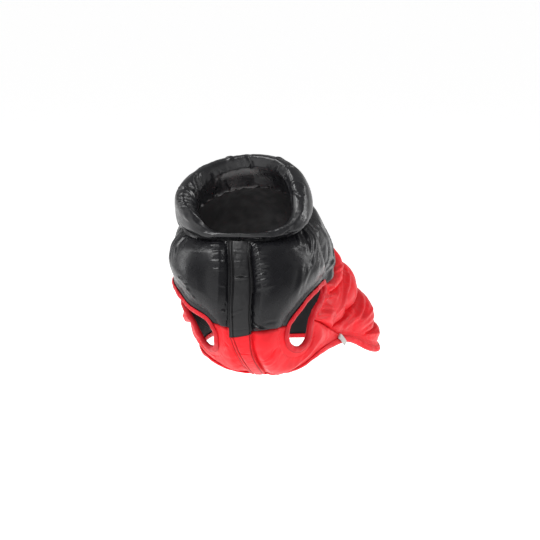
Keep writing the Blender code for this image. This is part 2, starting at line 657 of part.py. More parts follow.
def build():
    for item in list(bpy.data.objects):
        bpy.data.objects.remove(item, do_unlink=True)
    collection = bpy.data.collections.new(COLLECTION_NAME)
    bpy.context.scene.collection.children.link(collection)
    collar(collection)
    yoke_back(collection)
    body_back(collection)
    for side, word in ((1, "left"), (-1, "right")):
        front(side, "front_" + word, collection)
        belly(side, "belly_" + word, collection)
        armhole_binding(side, "armhole_binding_" + word, collection)
    strip("placket", STRIP, BLACK_SHELL, collection)
    strip("placket_tail", STRIP_TAIL, RED_SHELL, collection)
    hem_binding(collection)
    label_tab(collection)


if __name__ == "__main__":
    build()
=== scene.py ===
"""Dog jacket: cloth, sewing and finish on the frame.

Each padded panel is a fine grid over the same body form as its solid. Its cloth is settled with a
little air under it, then the main folds are laid in one by one, in sizes of their own.
A point on the form is given by s, from the neck ring (0) down to the hem (about 1), and by an
angle round the body, from the centre front (0) to the wearer's left (+90) and the spine (180).
"""
import json
import math

import bmesh
import bpy
import numpy as np
from mathutils import Matrix, Vector
from mathutils.kdtree import KDTree

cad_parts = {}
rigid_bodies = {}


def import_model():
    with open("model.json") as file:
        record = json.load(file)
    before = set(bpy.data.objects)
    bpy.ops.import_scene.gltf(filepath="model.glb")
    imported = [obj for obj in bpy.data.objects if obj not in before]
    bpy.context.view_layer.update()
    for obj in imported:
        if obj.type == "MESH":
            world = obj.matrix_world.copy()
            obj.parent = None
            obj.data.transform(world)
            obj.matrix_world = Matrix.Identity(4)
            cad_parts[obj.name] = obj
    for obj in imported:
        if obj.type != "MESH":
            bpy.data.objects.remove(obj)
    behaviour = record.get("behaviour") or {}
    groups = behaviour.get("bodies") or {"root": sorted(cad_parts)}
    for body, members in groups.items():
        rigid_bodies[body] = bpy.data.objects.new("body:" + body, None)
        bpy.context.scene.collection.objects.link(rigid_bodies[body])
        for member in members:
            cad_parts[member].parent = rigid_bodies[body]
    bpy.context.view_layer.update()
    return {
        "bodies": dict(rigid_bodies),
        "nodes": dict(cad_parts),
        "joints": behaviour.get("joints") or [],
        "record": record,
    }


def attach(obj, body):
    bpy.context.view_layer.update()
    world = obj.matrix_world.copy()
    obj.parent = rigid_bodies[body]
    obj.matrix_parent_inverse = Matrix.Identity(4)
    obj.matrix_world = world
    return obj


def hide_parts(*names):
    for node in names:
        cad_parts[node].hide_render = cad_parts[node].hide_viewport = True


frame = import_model()
chance = np.random.default_rng(11)
MM = 0.001  # also a thousandth of s

# ---- Body form: one row for each ring of the inner surface, in metres ----
# columns: s, centre_x, front_y, front_z, back_y, back_z, half_width, widest, front_n, back_n
# widest is the share of the depth, from the front, where the ring is widest; front_n and back_n are
# the powers of its two half superellipses
SECTIONS = [
    (0.00, 0.000, -0.047, -0.022, 0.047, 0.022, 0.058, 0.50, 2.0, 2.0),
    (0.15, -0.001, -0.064, -0.046, 0.076, 0.007, 0.068, 0.46, 2.1, 1.85),
    (0.30, 0.000, -0.076, -0.074, 0.108, -0.022, 0.076, 0.42, 2.2, 1.80),
    (0.45, 0.001, -0.081, -0.100, 0.141, -0.051, 0.079, 0.40, 2.2, 1.95),
    (0.60, 0.006, -0.077, -0.124, 0.170, -0.082, 0.074, 0.44, 2.2, 2.2),
    (0.75, 0.010, -0.064, -0.146, 0.192, -0.114, 0.072, 0.50, 2.2, 2.4),
    (0.90, 0.012, -0.036, -0.166, 0.209, -0.148, 0.077, 0.56, 2.2, 2.4),
    (1.00, 0.011, -0.010, -0.176, 0.218, -0.170, 0.080, 0.58, 2.2, 2.4),
    (1.10, 0.009, 0.018, -0.184, 0.224, -0.192, 0.082, 0.60, 2.2, 2.4),
]
TURN = math.radians(14)  # the rear is turned to the wearer's left
TURN_FROM_Y, TURN_TO_Y = -0.02, 0.18

# ---- Seam and edge lines on the form ----
# columns: degrees, s
NECK = [(0, 0.040), (60, 0.064), (120, 0.060), (180, 0.050), (240, 0.075), (285, 0.108), (318, 0.068)]
# columns: degrees from the centre front, left_s, right_s
HEM = [
    (0, 1.046, 1.046),
    (15, 1.062, 1.008),
    (30, 1.000, 0.935),
    (47, 0.908, 0.890),
    (66, 0.882, 0.880),
    (78, 0.885, 0.885),
    (86, 0.907, 0.905),
    (93, 0.969, 0.965),
    (102, 1.017, 1.012),
    (125, 1.036, 1.035),
    (152, 1.030, 1.030),
    (180, 1.030, 1.030),
]
# columns: left_s, left_degrees, right_s, right_degrees
ARMHOLE = [
    (0.485, 92.0, 0.485, 92.0),      # rear tip, where the shoulder and yoke seams meet
    (0.454, 82.0, 0.436, 81.0),
    (0.449, 70.0, 0.427, 67.0),
    (0.466, 58.0, 0.447, 52.0),
    (0.505, 49.5, 0.486, 42.0),
    (0.588, 38.2, 0.548, 26.0),      # end of the chest seam
    (0.640, 35.6, 0.603, 24.8),
    (0.690, 34.6, 0.662, 26.0),
    (0.758, 36.5, 0.745, 30.0),
    (0.782, 43.0, 0.782, 39.0),
    (0.750, 50.0, 0.755, 48.0),
    (0.680, 55.5, 0.685, 55.5),
    (0.610, 60.0, 0.610, 60.0),      # start of the side seam
    (0.555, 70.0, 0.555, 70.0),
    (0.527, 84.0, 0.527, 84.0),
]
TIP, CHEST_END, SIDE_START = 0, 5, 12  # rows of ARMHOLE where seams meet the edge
CHEST_CENTRE_S = 0.608
CHEST_SEAM_RISE = 0.012  # by which the chest seam curves upwards
SHOULDER_DEGREES = 85.0  # where the shoulder seam leaves the neck
# columns: s, degrees; between the armhole and the hem
SIDE_SEAM = [(0.695, 71.5), (0.772, 77.5), (0.835, 81.5)]
SIDE_END_DEGREES = 86.0
# columns: s, degrees; between the armhole tip and the spine
YOKE_SEAM = [(0.506, 106.0), (0.497, 120.0), (0.472, 141.0), (0.458, 162.0), (0.455, 180.0)]

# ---- Walls and paddings ----
SEAM_GAP = 0.00008  # sewn shut, so that no light comes through
EDGE = 0.003  # wall at every seam and edge
CHEST_PADDING = 0.0075
YOKE_PADDING = 0.0075
BACK_PADDING = 0.0105
BELLY_PADDING = 0.0045
SEAM_ROUND = 0.013  # from a seam to full padding
BOUND_FLAT, BOUND_ROUND = 0.008, 0.018  # flat beside a bound edge, then the rise to full padding
NECK_FLAT, NECK_ROUND = 0.002, 0.020  # the same under the collar
STRIP_ROUND = math.radians(7)  # the same beside the front strip
BELLY_HEM_SHARE = 0.02  # part of the belly's hem that lies under the chest seam
LAID_ON = 0.0004  # clearance of what lies on a panel

# ---- Quilted channels of the back: fraction of the panel's length at side seam and spine ----
# columns: at_side, at_spine, rows_below
CHANNELS = [(0.00, 0.00, 9), (0.08, 0.17, 18), (0.58, 0.40, 18), (0.84, 0.72, 12), (0.91, 0.955, 3),
            (1.00, 1.00, 0)]
CHANNEL_POWER = 0.65

# ---- Largest folds, as ridges along a line on the form ----
# columns: panel, start_s, start_degrees, end_s, end_degrees, width, height
FOLDS = [
    ("front_left", 0.12, 58.0, 0.40, 69.0, 0.0055, 0.0024),
    ("front_left", 0.11, 70.0, 0.42, 79.0, 0.0055, 0.0028),
    ("front_left", 0.14, 80.0, 0.45, 87.0, 0.0050, 0.0024),
    ("front_right", 0.16, -62.0, 0.38, -72.0, 0.0055, 0.0022),
    ("front_right", 0.18, -76.0, 0.42, -84.0, 0.0055, 0.0022),
    ("yoke_back", 0.16, 100.0, 0.44, 112.0, 0.0070, 0.0024),
    ("yoke_back", 0.16, -100.0, 0.44, -112.0, 0.0070, 0.0024),
]

# ---- Collar: one row for each section, from the left end round to the right end ----
# columns: degrees, rise, bulge, lean, thickness
COLLAR = [
    (0, 0.007, 0.001, 0.001, 0.006),
    (20, 0.007, 0.002, 0.001, 0.008),
    (42, 0.010, 0.003, 0.002, 0.011),
    (60, 0.017, 0.004, 0.003, 0.014),
    (80, 0.027, 0.001, 0.008, 0.015),
    (110, 0.039, 0.001, 0.011, 0.016),
    (150, 0.045, 0.005, 0.008, 0.018),
    (180, 0.046, 0.006, 0.008, 0.018),
    (225, 0.047, 0.004, 0.006, 0.018),
    (262, 0.047, 0.001, 0.002, 0.018),
    (292, 0.042, -0.001, 0.000, 0.017),
    (310, 0.030, 0.000, 0.000, 0.014),
    (323, 0.014, 0.003, 0.003, 0.012),
    (340, 0.007, 0.002, 0.001, 0.008),
    (360, 0.007, 0.001, 0.001, 0.006),
]
COLLAR_OPENING = math.radians(0.12)  # half the gap between the collar's two ends
COLLAR_HEIGHTS = [0.0, 0.14, 0.38, 0.62, 0.84]
COLLAR_LIFT = EDGE + 0.0012  # outside of the collar above the panels that it rolls over

# ---- Front strip, its red tail, bindings and tab ----
# columns: right_s, right_degrees, left_s, left_degrees
STRIP = [(0.066, -11.0, 0.066, 10.1), (0.20, -6.9, 0.19, 11.6), (0.36, -6.0, 0.34, 12.1),
         (0.50, -7.6, 0.47, 10.2), (0.628, -11.4, 0.600, 7.4)]
STRIP_TAIL = [(0.631, -11.3, 0.603, 7.3), (0.72, -10.5, 0.70, 5.4), (0.80, -9.0, 0.785, 4.7),
              (0.90, -6.7, 0.88, 5.6), (1.01, -4.6, 1.01, 6.5)]
STRIP_THICKNESS, STRIP_PUFF, STRIP_EDGE_ROUND = 0.0025, 0.0008, 0.0016
STRIP_CLEAR_DEGREES = 0.4  # beyond the strip's edges, where the panel stays thin
# columns: s, degrees, height; along the tab, above the form
TAB = [(0.841, 78.6, EDGE + 0.0010), (0.854, 78.3, EDGE + 0.0027), (0.897, 77.4, EDGE + 0.0029)]
TAB_WIDTH, TAB_THICKNESS = 0.0065, 0.0011

# ---- Mesh density ----
CHEST_STEPS, ARM_FRONT_STEPS, ARM_LOW_STEPS, ARM_REAR_STEPS = 28, 44, 48, 28
YOKE_STEPS, FRONT_ROWS, BELLY_ROWS = 104, 52, 40
COLLAR_STATIONS, COLLAR_LEVELS = 190, 44
STRIP_STATIONS, STRIP_POINTS = 180, 43
NEAREST_STEPS = 240  # samples of a line when the distance to it is measured
CHANNEL_SAMPLES = 240  # rows from which the rows of the channels are read
CREASE_SAMPLES = 14  # of each stretch between the knots of a crease

BELLY_FAN = 1.7  # how closely the columns below the armhole start at the front
BELLY_HEM_SPREAD = np.linspace(0, 1, ARM_LOW_STEPS + 1)[1:]**BELLY_FAN
BELLY_HEM_SPREAD = BELLY_HEM_SHARE + (1 - BELLY_HEM_SHARE) * BELLY_HEM_SPREAD
BELLY_REACH = 3  # how fast the bend of the side seam fades across the belly

# ---- Settling ----
SIM_SCALE = 10.0  # the cloth is settled at ten times its size
SIM_FRAMES = 22
CLOTH_QUALITY, CLOTH_MASS, AIR_DAMPING = 5, 0.3, 2.0
STRETCH_STIFF, SHEAR_STIFF, BEND_STIFF = 15, 5, 0.4
STRETCH_DAMPING, BEND_DAMPING = 5, 0.5
ROUGH, ROUGH_ROUNDS = 0.00025, 3  # unevenness of the cloth before it settles, and its smoothing
THIN, THIN_PIN = 0.0004, 0.6  # padding that is too thin to lift, and how firmly it is held
SOFT_ROUNDS = 24  # of averaging between a panel's puff and its small wrinkles
CREASE_ROOM = 0.0018  # padding from which a crease has its full depth
LEAST_TOP = 0.0022  # outside of a panel above the form, at its lowest
SEAM_TUCK, SEAM_TUCK_WIDTH = 0.0016, 0.0012  # a panel's edge is drawn down into its seam
STRIP_TUCK, STRIP_TUCK_WIDTH = 0.0007, 0.0010  # the same beside the front strip
STRIP_TUCK_OUT = 0.0006  # from the strip's edge to the deepest place
WEAR_WIDTH = 0.0016  # of the rubbed line beside a seam
FOLD_SHARE = 0.4  # of the chest's largest folds, which the finer ones below cross
# columns: share of the padding before settling, pressure, growth, share of the small wrinkles, fill,
# steps that one step is split into
CLOTH = {
    "front": (0.85, 1.4, 0.025, 0.10, 0.7, 3),
    "yoke": (0.6, 1.1, 0.05, 0.3, 0.7, 2),
    "back": (0.75, 2.0, 0.06, 0.22, 0.7, 2),
    "belly": (0.8, 1.6, 0.04, 0.2, 0.5, 2),
}
# the same for the collar, and the most that settling may move its skin
COLLAR_PRESSURE, COLLAR_GROWTH, COLLAR_FILL, COLLAR_GIVE = 1.6, 0.06, 0.8, 0.0028
COLLAR_FULL = 0.018  # thickness of a full collar
COLLAR_FREE, COLLAR_FREER = 0.36, 0.4  # share of that from which it starts to move, and how much more
COLLAR_HELD, COLLAR_PIN = 0.45, 0.8  # share of that below which it is held, and how firmly
COLLAR_SHRUNK, COLLAR_ROUGH = 0.0008, 0.0003  # drawn in before settling, and its unevenness

# ---- Main folds and troughs, laid over the settled cloth ----
# columns: rise and width in millimetres, then knots of s, in thousandths, and degrees; a trough has a
# negative rise
CREASES = [
    # wearer's left shoulder: long ridges from the collar round to the armhole
    (1.5, 1.9, (32, 78.6), (120, 80.4), (187, 77), (234, 68.6), (284, 61.4)),
    (1.4, 1.8, (48, 82.2), (132, 83.4), (201, 82.1), (255, 76.5), (304, 69.4)),
    (1.6, 2.1, (144, 96.2), (241, 102.6), (324, 106.1), (364, 96.2), (372, 77.4)),
    (1.8, 2.2, (232, 113.4), (338, 123.1), (422, 126.3), (431, 111), (416, 92.6)),
    (1.3, 1.7, (48, 71.8), (116, 72.6), (172, 69.3), (220, 65)),
    (-1.5, 1.8, (44, 68.6), (111, 68.5), (168, 65.5), (216, 61)),
    (1, 1.4, (60, 61.8), (111, 60.1), (156, 56.2)),
    (1.4, 3, (272, 51.8), (328, 48.2), (388, 43.8)),
    (1.2, 2.4, (280, 59.4), (318, 53.4), (368, 49.8)),
    # wearer's right flank
    (1.8, 1.9, (64, -66.2), (126, -64.8), (184, -62.7), (240, -59.4)),
    (0.9, 1.6, (64, -59), (116, -57.6), (168, -55.4)),
    (1.8, 2, (84, -74.2), (160, -75.4), (224, -73), (284, -68.2)),
    (1.4, 1.5, (336, -45), (340, -41.9), (344, -38.2)),
    (1.3, 1.5, (360, -41), (366, -38.6), (372, -36.2)),
    (1.2, 1.5, (332, -51.8), (328, -48.4), (324, -45)),
    (0.9, 1.4, (392, -35), (398, -33.5), (404, -31.8)),
    (2, 2.2, (120, -106), (250, -112), (340, -100), (360, -84)),
    (1.7, 2.1, (260, -118), (350, -124), (420, -112), (410, -94)),
    # puckers beside the front strip
    (1.2, 1.3, (104, -26.2), (99, -21.5), (92, -16.6)),
    (0.6, 1.4, (144, -22.2), (136, -18), (128, -13)),
    (0.6, 1.4, (196, -20.6), (192, -16), (184, -11)),
    (0.6, 1.4, (236, -19), (231, -14.5), (224, -9.4)),
    (0.6, 1.4, (308, -13), (310, -10.6), (312, -8.2)),
    (1, 1.2, (456, -11.8), (454, -10.6), (452, -9)),
    (1.1, 1.2, (132, 12.6), (128, 16.2), (124, 20.6)),
    (1, 1.2, (156, 14.2), (158, 20.6), (168, 27.8)),
    (1.3, 1.3, (188, 14.6), (184, 18.3), (180, 22.6)),
    (1.3, 1.3, (216, 14.6), (211, 20.3), (216, 26.6)),
    (1.2, 1.3, (236, 15), (233, 19.5), (232, 24.2)),
    (1.2, 1.3, (264, 14.2), (261, 17.8), (256, 21.8)),
    (0.7, 1.3, (288, 13.8), (288, 19.1), (280, 24.6)),
    (1, 2.4, (324, 14.6), (323, 20.7), (312, 27.4)),
    (1.1, 1.3, (68, 14.2), (66, 19.2), (60, 24.6)),
    (0.9, 1.2, (100, 13.4), (96, 17.5), (88, 21.8)),
    # above the chest seam
    (1.6, 1.3, (548, 9), (560, 14.1), (572, 19.4)),
    (-1.2, 1.2, (528, 8.6), (544, 13.2), (556, 18.6)),
    (-0.9, 1.6, (532, 16.6), (522, 21.7), (524, 27.4)),
    # lower chest
    (-2, 1.4, (820, 7.8), (800, 13.1), (765, 18.3), (728, 23)),
    (1, 2, (868, 7.4), (833, 14.2), (784, 20.6)),
    (-1.8, 1.4, (656, -19.4), (684, -17.2), (712, -14.2)),
    # snap under the strip, and its stitched crossings
    (1.6, 1.1, (272, -3), (269, 2.9), (264, 9.4)),
    (-1.7, 0.9, (260, -3), (260, 2.2), (256, 8.2)),
    (0.8, 1.2, (472, -5.4), (457, 0.1), (440, 5.4)),
    (-0.6, 1, (488, -5.4), (482, -3.2), (476, -1)),
    (0.4, 1.2, (124, -5.8), (129, 1.1), (136, 8.2)),
    (0.4, 1.2, (188, -4.6), (184, 2.2), (184, 9)),
    (0.4, 1.2, (212, -3.4), (214, 3), (220, 9.8)),
    (-0.5, 0.8, (572, -8.6), (569, -1), (560, 7.4)),
    (-1.2, 0.9, (748, -11), (745, -4.3), (748, 3)),
    (-0.6, 0.9, (812, -2.6), (809, 0.6), (804, 4.2)),
    # withers and spine
    (1.8, 2.6, (100, 150), (200, 158), (300, 150)),
    (1.6, 2.6, (120, 205), (220, 198), (320, 208)),
    (1.4, 2.2, (220, 172), (300, 181), (390, 176)),
    (1.6, 2.6, (560, 170), (580, 184), (570, 200)),
]
# the same columns, on the wearer's left side of the back; the right side has them turned over
BACK_CREASES = [
    (1.7, 2.2, (548, 65.8), (542, 76.3), (572, 92), (604, 105.8)),
    (1.3, 1.8, (588, 61.8), (612, 70.1), (656, 80.6)),
    (-1.4, 1.5, (548, 59.8), (562, 67.1), (602, 77), (656, 87.8)),
    (2, 2.1, (592, 143), (612, 124.8), (640, 110.2), (672, 95.8), (700, 79.4)),
    (-1.2, 1.6, (548, 126.6), (591, 119.6), (622, 109.6), (648, 98.6)),
    (1.4, 2.1, (524, 119.4), (570, 114), (597, 103.9), (608, 92.2)),
    (1.6, 1.6, (480, 105.8), (517, 119.9), (560, 137)),
    (1.3, 2, (504, 97.8), (528, 90.5), (524, 77)),
    (2, 2.6, (736, 137), (761, 124.9), (788, 111.8), (805, 98.5), (820, 85)),
    (-1.5, 1.8, (776, 128.6), (796, 117.3), (816, 105.8)),
    (1.5, 1.9, (824, 133), (823, 116.9), (832, 104.2)),
    (1.4, 2.6, (652, 123.8), (705, 118.9), (751, 109.3), (778, 96.5), (788, 82.6)),
    (-2, 1.8, (868, 130.6), (869, 115.7), (872, 101)),
    (1.4, 2, (916, 127.4), (899, 113.7), (892, 101.4)),
    (1.2, 1.8, (960, 124.2), (922, 109.5), (904, 99)),
    (1.1, 1.8, (984, 109), (949, 101.7), (920, 94.6)),
]
for rise, width, *knots in list(BACK_CREASES):
    slip, size = chance.normal(0, 10), chance.uniform(0.75, 1.15)
    BACK_CREASES.append((rise * size, width, *((s + slip, 361.5 - angle) for s, angle in knots)))
# columns: rise and width in millimetres, then (degrees, level) knots; level runs from the collar's
# outer foot (0) over its top to its inner foot (1)
COLLAR_CREASES = [
    (-2.4, 1.6, (270.2, 0.5), (270.1, 0.553), (268.5, 0.607), (262.6, 0.682)),
    (1.4, 1.6, (270.2, 0.477), (272, 0.557), (264.5, 0.659)),
    (-2.2, 1.4, (251.2, 0.5), (255, 0.553), (257.5, 0.614), (258.8, 0.682)),
    (1.4, 1.4, (247.4, 0.523), (253.7, 0.584), (255, 0.682)),
    (1.2, 1.5, (258.8, 0.523), (261.2, 0.561), (262.6, 0.614)),
    (1.1, 1.1, (281.6, 0.455), (281.5, 0.508), (279.7, 0.568)),
    (1.2, 1.1, (285.4, 0.432), (287, 0.516), (279.7, 0.614)),
    (1.2, 1.1, (289.2, 0.409), (292.9, 0.489), (289.2, 0.591)),
    (1, 1.2, (293, 0.386), (298.5, 0.467), (294.9, 0.591)),
    (0.8, 1.2, (294.9, 0.341), (300.4, 0.43), (304.3, 0.523)),
    (2.2, 2.6, (270.2, 0.409), (270.9, 0.44), (272.1, 0.477)),
    (1.2, 2.2, (304.3, 0.341), (308.1, 0.348), (311.9, 0.364)),
    (0.8, 2, (243.6, 0.432), (237.9, 0.439), (232.2, 0.455)),
    (0.8, 2.2, (21.5, 0.318), (36.1, 0.426), (51.9, 0.477)),
    (0.9, 2.4, (51.9, 0.386), (62.2, 0.408), (74.6, 0.386)),
    (-1.2, 1.8, (84, 0.43), (92, 0.52), (96, 0.62)),
    (1.2, 2, (99, 0.38), (106, 0.47), (104, 0.6)),
    (-1.4, 1.8, (128, 0.36), (133, 0.47), (130, 0.58)),
    (1.1, 2.2, (150, 0.3), (157, 0.42), (152, 0.52)),
    (-1.2, 1.8, (186, 0.4), (190, 0.5), (184, 0.62)),
    (1.2, 2.2, (214, 0.33), (208, 0.45), (213, 0.56)),
]

# ---- Camera and studio ----
CAMERA_AZIMUTH, CAMERA_ELEVATION, CAMERA_DISTANCE = 8, 8, 2.8
CAMERA_RIGHT, CAMERA_DOWN = 0.02475, 0.0671
FRAME_WIDTH = 0.594  # of what the camera sees at the neck
FLOOR_Z, FLOOR_REACH, FLOOR_SIDES, FLOOR_GLOW = -0.30, 30.0, 48, 0.72
LAMPS_AIM = Vector((0, 0, -0.06))
BACKDROP, SKY, SKY_FROM = 0.98, 0.28, 0.30  # light of the backdrop and overhead, and where it starts
# columns: name, place, size, power
LAMPS = [
    ("left_box", (-1.6, 0.2, 0.7), (0.4, 1.3), 8),
    ("right_box", (1.5, 0.5, 0.9), (0.5, 1.2), 15),
    ("front_box", (-0.6, -1.9, 0.6), (2.2, 1.6), 11),
    ("top_box", (-0.6, -0.4, 1.4), (0.9, 0.7), 20),
]

# ---- Strip, tape and thread ----
STITCH_LEFT = (0.0017,)  # rows of stitches, from the strip's two edges
STITCH_RIGHT = (0.0016, 0.0046)
STITCH, STITCH_GAP, THREAD = 0.0022, 0.0007, 0.00016
STITCH_START, STITCH_LOOK = 0.0006, 0.0003  # first stitch of a row, and where its direction is read
THREAD_RISE, THREAD_SUNK, THREAD_FLAT = 0.00016, 0.00006, 0.7
STITCH_HOLLOW, STITCH_DEPTH = 0.0007, 0.0013
STRIP_UNEVEN, STRIP_CREASE_SHARE = 0.0001, 0.7
TAPE_RIPPLE = 0.00022
BAR_TACKS, BAR_TACK_S = (-3.8, -1.4), (0.064, 0.084)  # degrees, and from and to s
BAR_TACK_LIFT = 0.0013
TAPE_STITCH_ROW = 3  # of the rows below
# columns: inward, height, ripple; section round a panel edge
BINDING_FINE = [
    (0.0048, EDGE + 0.0005, 0.3), (0.0050, EDGE + 0.0010, 0.6), (0.0046, EDGE + 0.0015, 1.0),
    (0.0041, EDGE + 0.0013, 0.8), (0.0034, EDGE + 0.0017, 1.0), (0.0020, EDGE + 0.0019, 1.2),
    (0.0006, EDGE + 0.0018, 1.2), (-0.0006, EDGE + 0.0013, 1.0), (-0.0015, EDGE + 0.0002, 1.0),
    (-0.0018, EDGE / 2, 0.8), (-0.0016, 0.0002, 0.8), (-0.0008, -0.0010, 0.6), (0.0004, -0.0014, 0.5),
    (0.0022, -0.0014, 0.5), (0.0044, -0.0012, 0.4), (0.0046, -0.0006, 0.2), (0.0020, -0.0005, 0.0),
    (-LAID_ON, -0.0005, 0.0), (-LAID_ON, EDGE + 0.0005, 0.0),
]


def nylon(name, colour, roughness, sheen, crinkle):
    """Woven nylon shell cloth: fine weave, crinkled skin, uneven dye and gloss, worn seams, and shade
    painted into the stitch grooves.
    """
    material = bpy.data.materials.new(name)
    material.use_nodes = True
    tree = material.node_tree
    link = tree.links.new
    shader = tree.nodes["Principled BSDF"]
    shader.inputs["Specular IOR Level"].default_value = sheen

    def node(kind, **values):
        item = tree.nodes.new("ShaderNode" + kind)
        for key, value in values.items():
            item.inputs[key.replace("_", " ")].default_value = value
        return item

    where = node("TexCoord").outputs["Object"]

    def noise(**values):
        item = node("TexNoise", **values)
        link(where, item.inputs["Vector"])
        return item.outputs[0]

    def mark(attribute):
        item = node("Attribute")
        item.attribute_name = attribute
        return item.outputs["Fac"]

    tone = node("ValToRGB")
    for element, position, factor in zip(tone.color_ramp.elements, (0.35, 0.68), (0.88, 1.10)):
        element.position = position
        element.color = (*(min(1, factor * c) for c in colour), 1)
    link(noise(Scale=38.0, Detail=3.0, Roughness=0.55), tone.inputs[0])
    wear = mark("wear")
    pale = node("BrightContrast", Bright=0.012 + 0.02 * colour[0])
    link(tone.outputs[0], pale.inputs["Color"])
    rubbed = node("Mix")
    rubbed.data_type = "RGBA"
    link(wear, rubbed.inputs["Factor"])
    link(tone.outputs[0], rubbed.inputs["A"])
    link(pale.outputs[0], rubbed.inputs["B"])
    # painted shade: the colour is darkened to 40 % in the stitch grooves of the strips
    shaded = node("HueSaturation", Value=0.40)
    link(mark("groove_shade"), shaded.inputs["Fac"])
    link(rubbed.outputs["Result"], shaded.inputs["Color"])
    link(shaded.outputs[0], shader.inputs["Base Color"])
    gloss = node("MapRange", From_Min=0.3, From_Max=0.7, To_Min=roughness * 0.85, To_Max=roughness * 1.2)
    link(noise(Scale=90.0, Detail=2.0, Roughness=0.5), gloss.inputs[0])
    duller = node("Math")
    duller.operation = "MULTIPLY_ADD"
    duller.inputs[1].default_value = 0.14
    link(wear, duller.inputs[0])
    link(gloss.outputs[0], duller.inputs[2])
    link(duller.outputs[0], shader.inputs["Roughness"])
    skin = node("Bump", Strength=crinkle, Distance=0.0010)
    link(noise(Scale=150.0, Detail=3.0, Roughness=0.6, Distortion=0.8), skin.inputs["Height"])
    weave = node("Bump", Strength=0.25, Distance=0.0001)
    link(noise(Scale=1900.0, Detail=1.0, Roughness=0.5), weave.inputs["Height"])
    link(skin.outputs[0], weave.inputs["Normal"])
    link(weave.outputs[0], shader.inputs["Normal"])
    return material


black_nylon = nylon("black_nylon", (0.0065, 0.0065, 0.0078), 0.27, 0.28, 0.18)
# the collar is the same black nylon as the panels, given a lighter colour so that it reads brighter:
# painted light
collar_nylon_lightened = nylon("collar_nylon_lightened", (0.0110, 0.0110, 0.0125), 0.29, 0.42, 0.42)
strip_nylon = nylon("strip_nylon", (0.0075, 0.0075, 0.0085), 0.34, 0.30, 0.16)
red_nylon = nylon("red_nylon", (0.71, 0.006, 0.013), 0.42, 0.20, 0.20)
red_tape = nylon("red_tape", (0.52, 0.003, 0.011), 0.52, 0.25, 0.20)
hem_red = nylon("hem_red", (0.68, 0.005, 0.013), 0.46, 0.20, 0.20)
grey_tape = nylon("grey_tape", (0.50, 0.50, 0.48), 0.60, 0.3, 0.10)
lining = nylon("lining", (0.008, 0.008, 0.009), 0.60, 0.15, 0.20)
black_thread = nylon("black_thread", (0.014, 0.014, 0.015), 0.50, 0.30, 0.05)
red_thread = nylon("red_thread", (0.40, 0.003, 0.008), 0.55, 0.20, 0.05)


def natural_spline(knots, values):
    """Cubic through the values with free ends, as a function of the knot value."""
    x = np.asarray(knots, float)
    y = np.asarray(values, float).reshape(len(x), -1)
    step = np.diff(x)
    system = np.eye(len(x))
    right = np.zeros_like(y)
    for i in range(1, len(x) - 1):
        system[i, i - 1:i + 2] = step[i - 1], 2 * (step[i - 1] + step[i]), step[i]
        right[i] = 6 * ((y[i + 1] - y[i]) / step[i] - (y[i] - y[i - 1]) / step[i - 1])
    bend = np.linalg.solve(system, right)

    def at(t):
        t = np.asarray(t, float)
        i = np.clip(np.searchsorted(x, t) - 1, 0, len(x) - 2)
        h = step[i][..., None]
        a = (x[i + 1] - t)[..., None] / h
        b = (t - x[i])[..., None] / h
        return a * y[i] + b * y[i + 1] + ((a**3 - a) * bend[i] + (b**3 - b) * bend[i + 1]) * h**2 / 6
    return at


def looped(rows, turn=0.0):
    """Rows of a closed table with three more at each end, whose first column moves on by a turn."""
    rows = np.asarray(rows, float)
    before, after = rows[-3:].copy(), rows[:3].copy()
    before[:, 0] -= turn
    after[:, 0] += turn
    return np.vstack([before, rows, after])


def unit(vectors):
    """The same directions, of length 1."""
    return vectors / np.linalg.norm(vectors, axis=-1, keepdims=True)


def travelled(spots):
    """Length along a line of points, up to each of them."""
    return np.concatenate([[0], np.cumsum(np.linalg.norm(np.diff(spots, axis=0), axis=1))])


section_at = natural_spline([row[0] for row in SECTIONS], [row[1:] for row in SECTIONS])


def form(s, angle):
    """Point of the body form: a ring of two half superellipses, with the rear turned."""
    s, angle = np.broadcast_arrays(np.asarray(s, float), np.asarray(angle, float))
    rows = np.moveaxis(section_at(s), -1, 0)
    centre_x, front_y, front_z, back_y, back_z, half, widest, front_n, back_n = rows
    ahead, aside = np.cos(angle), np.sin(angle)
    power = np.where(ahead >= 0, front_n, back_n)
    radius = (np.abs(ahead)**power + np.abs(aside)**power)**(-1 / power)
    depth = np.where(ahead >= 0, widest * (1 - radius * ahead), widest - (1 - widest) * radius * ahead)
    x = centre_x + half * radius * aside
    y = front_y + (back_y - front_y) * depth - TURN_FROM_Y
    z = front_z + (back_z - front_z) * depth
    share = np.clip(y / (TURN_TO_Y - TURN_FROM_Y), 0, 1)
    turn = TURN * share**2 * (3 - 2 * share)
    return np.stack([x * np.cos(turn) + y * np.sin(turn),
                     TURN_FROM_Y + y * np.cos(turn) - x * np.sin(turn), z], -1)


def slopes(s, angle):
    """Change of the form's point with s and with the angle."""
    e = 1e-4
    return ((form(s + e, angle) - form(s - e, angle)) / (2 * e),
            (form(s, angle + e) - form(s, angle - e)) / (2 * e))


def outward(s, angle):
    """Unit normal of the form, away from the body."""
    return unit(np.cross(*slopes(s, angle)))


def raised(line, height):
    """Points above the form at (s, angle) rows."""
    s, angle = line[..., 0], line[..., 1]
    return form(s, angle) + outward(s, angle) * np.asarray(height)[..., None]


def shifted(line, direction, distance):
    """(s, angle) rows after a walk over the form along a 3-D direction."""
    by_s, by_angle = slopes(line[:, 0], line[:, 1])
    frame = np.stack([by_s, by_angle], -1)
    return line + np.einsum("nij,nj->ni", np.linalg.pinv(frame), direction * distance)


def along(line, fractions):
    """Points of an (s, angle) line at fractions of its length on the form."""
    run = travelled(form(line[:, 0], line[:, 1]))
    return np.stack([np.interp(fractions, run / run[-1], line[:, k]) for k in (0, 1)], -1)


def evenly(line, steps):
    return along(line, np.linspace(0, 1, steps + 1))


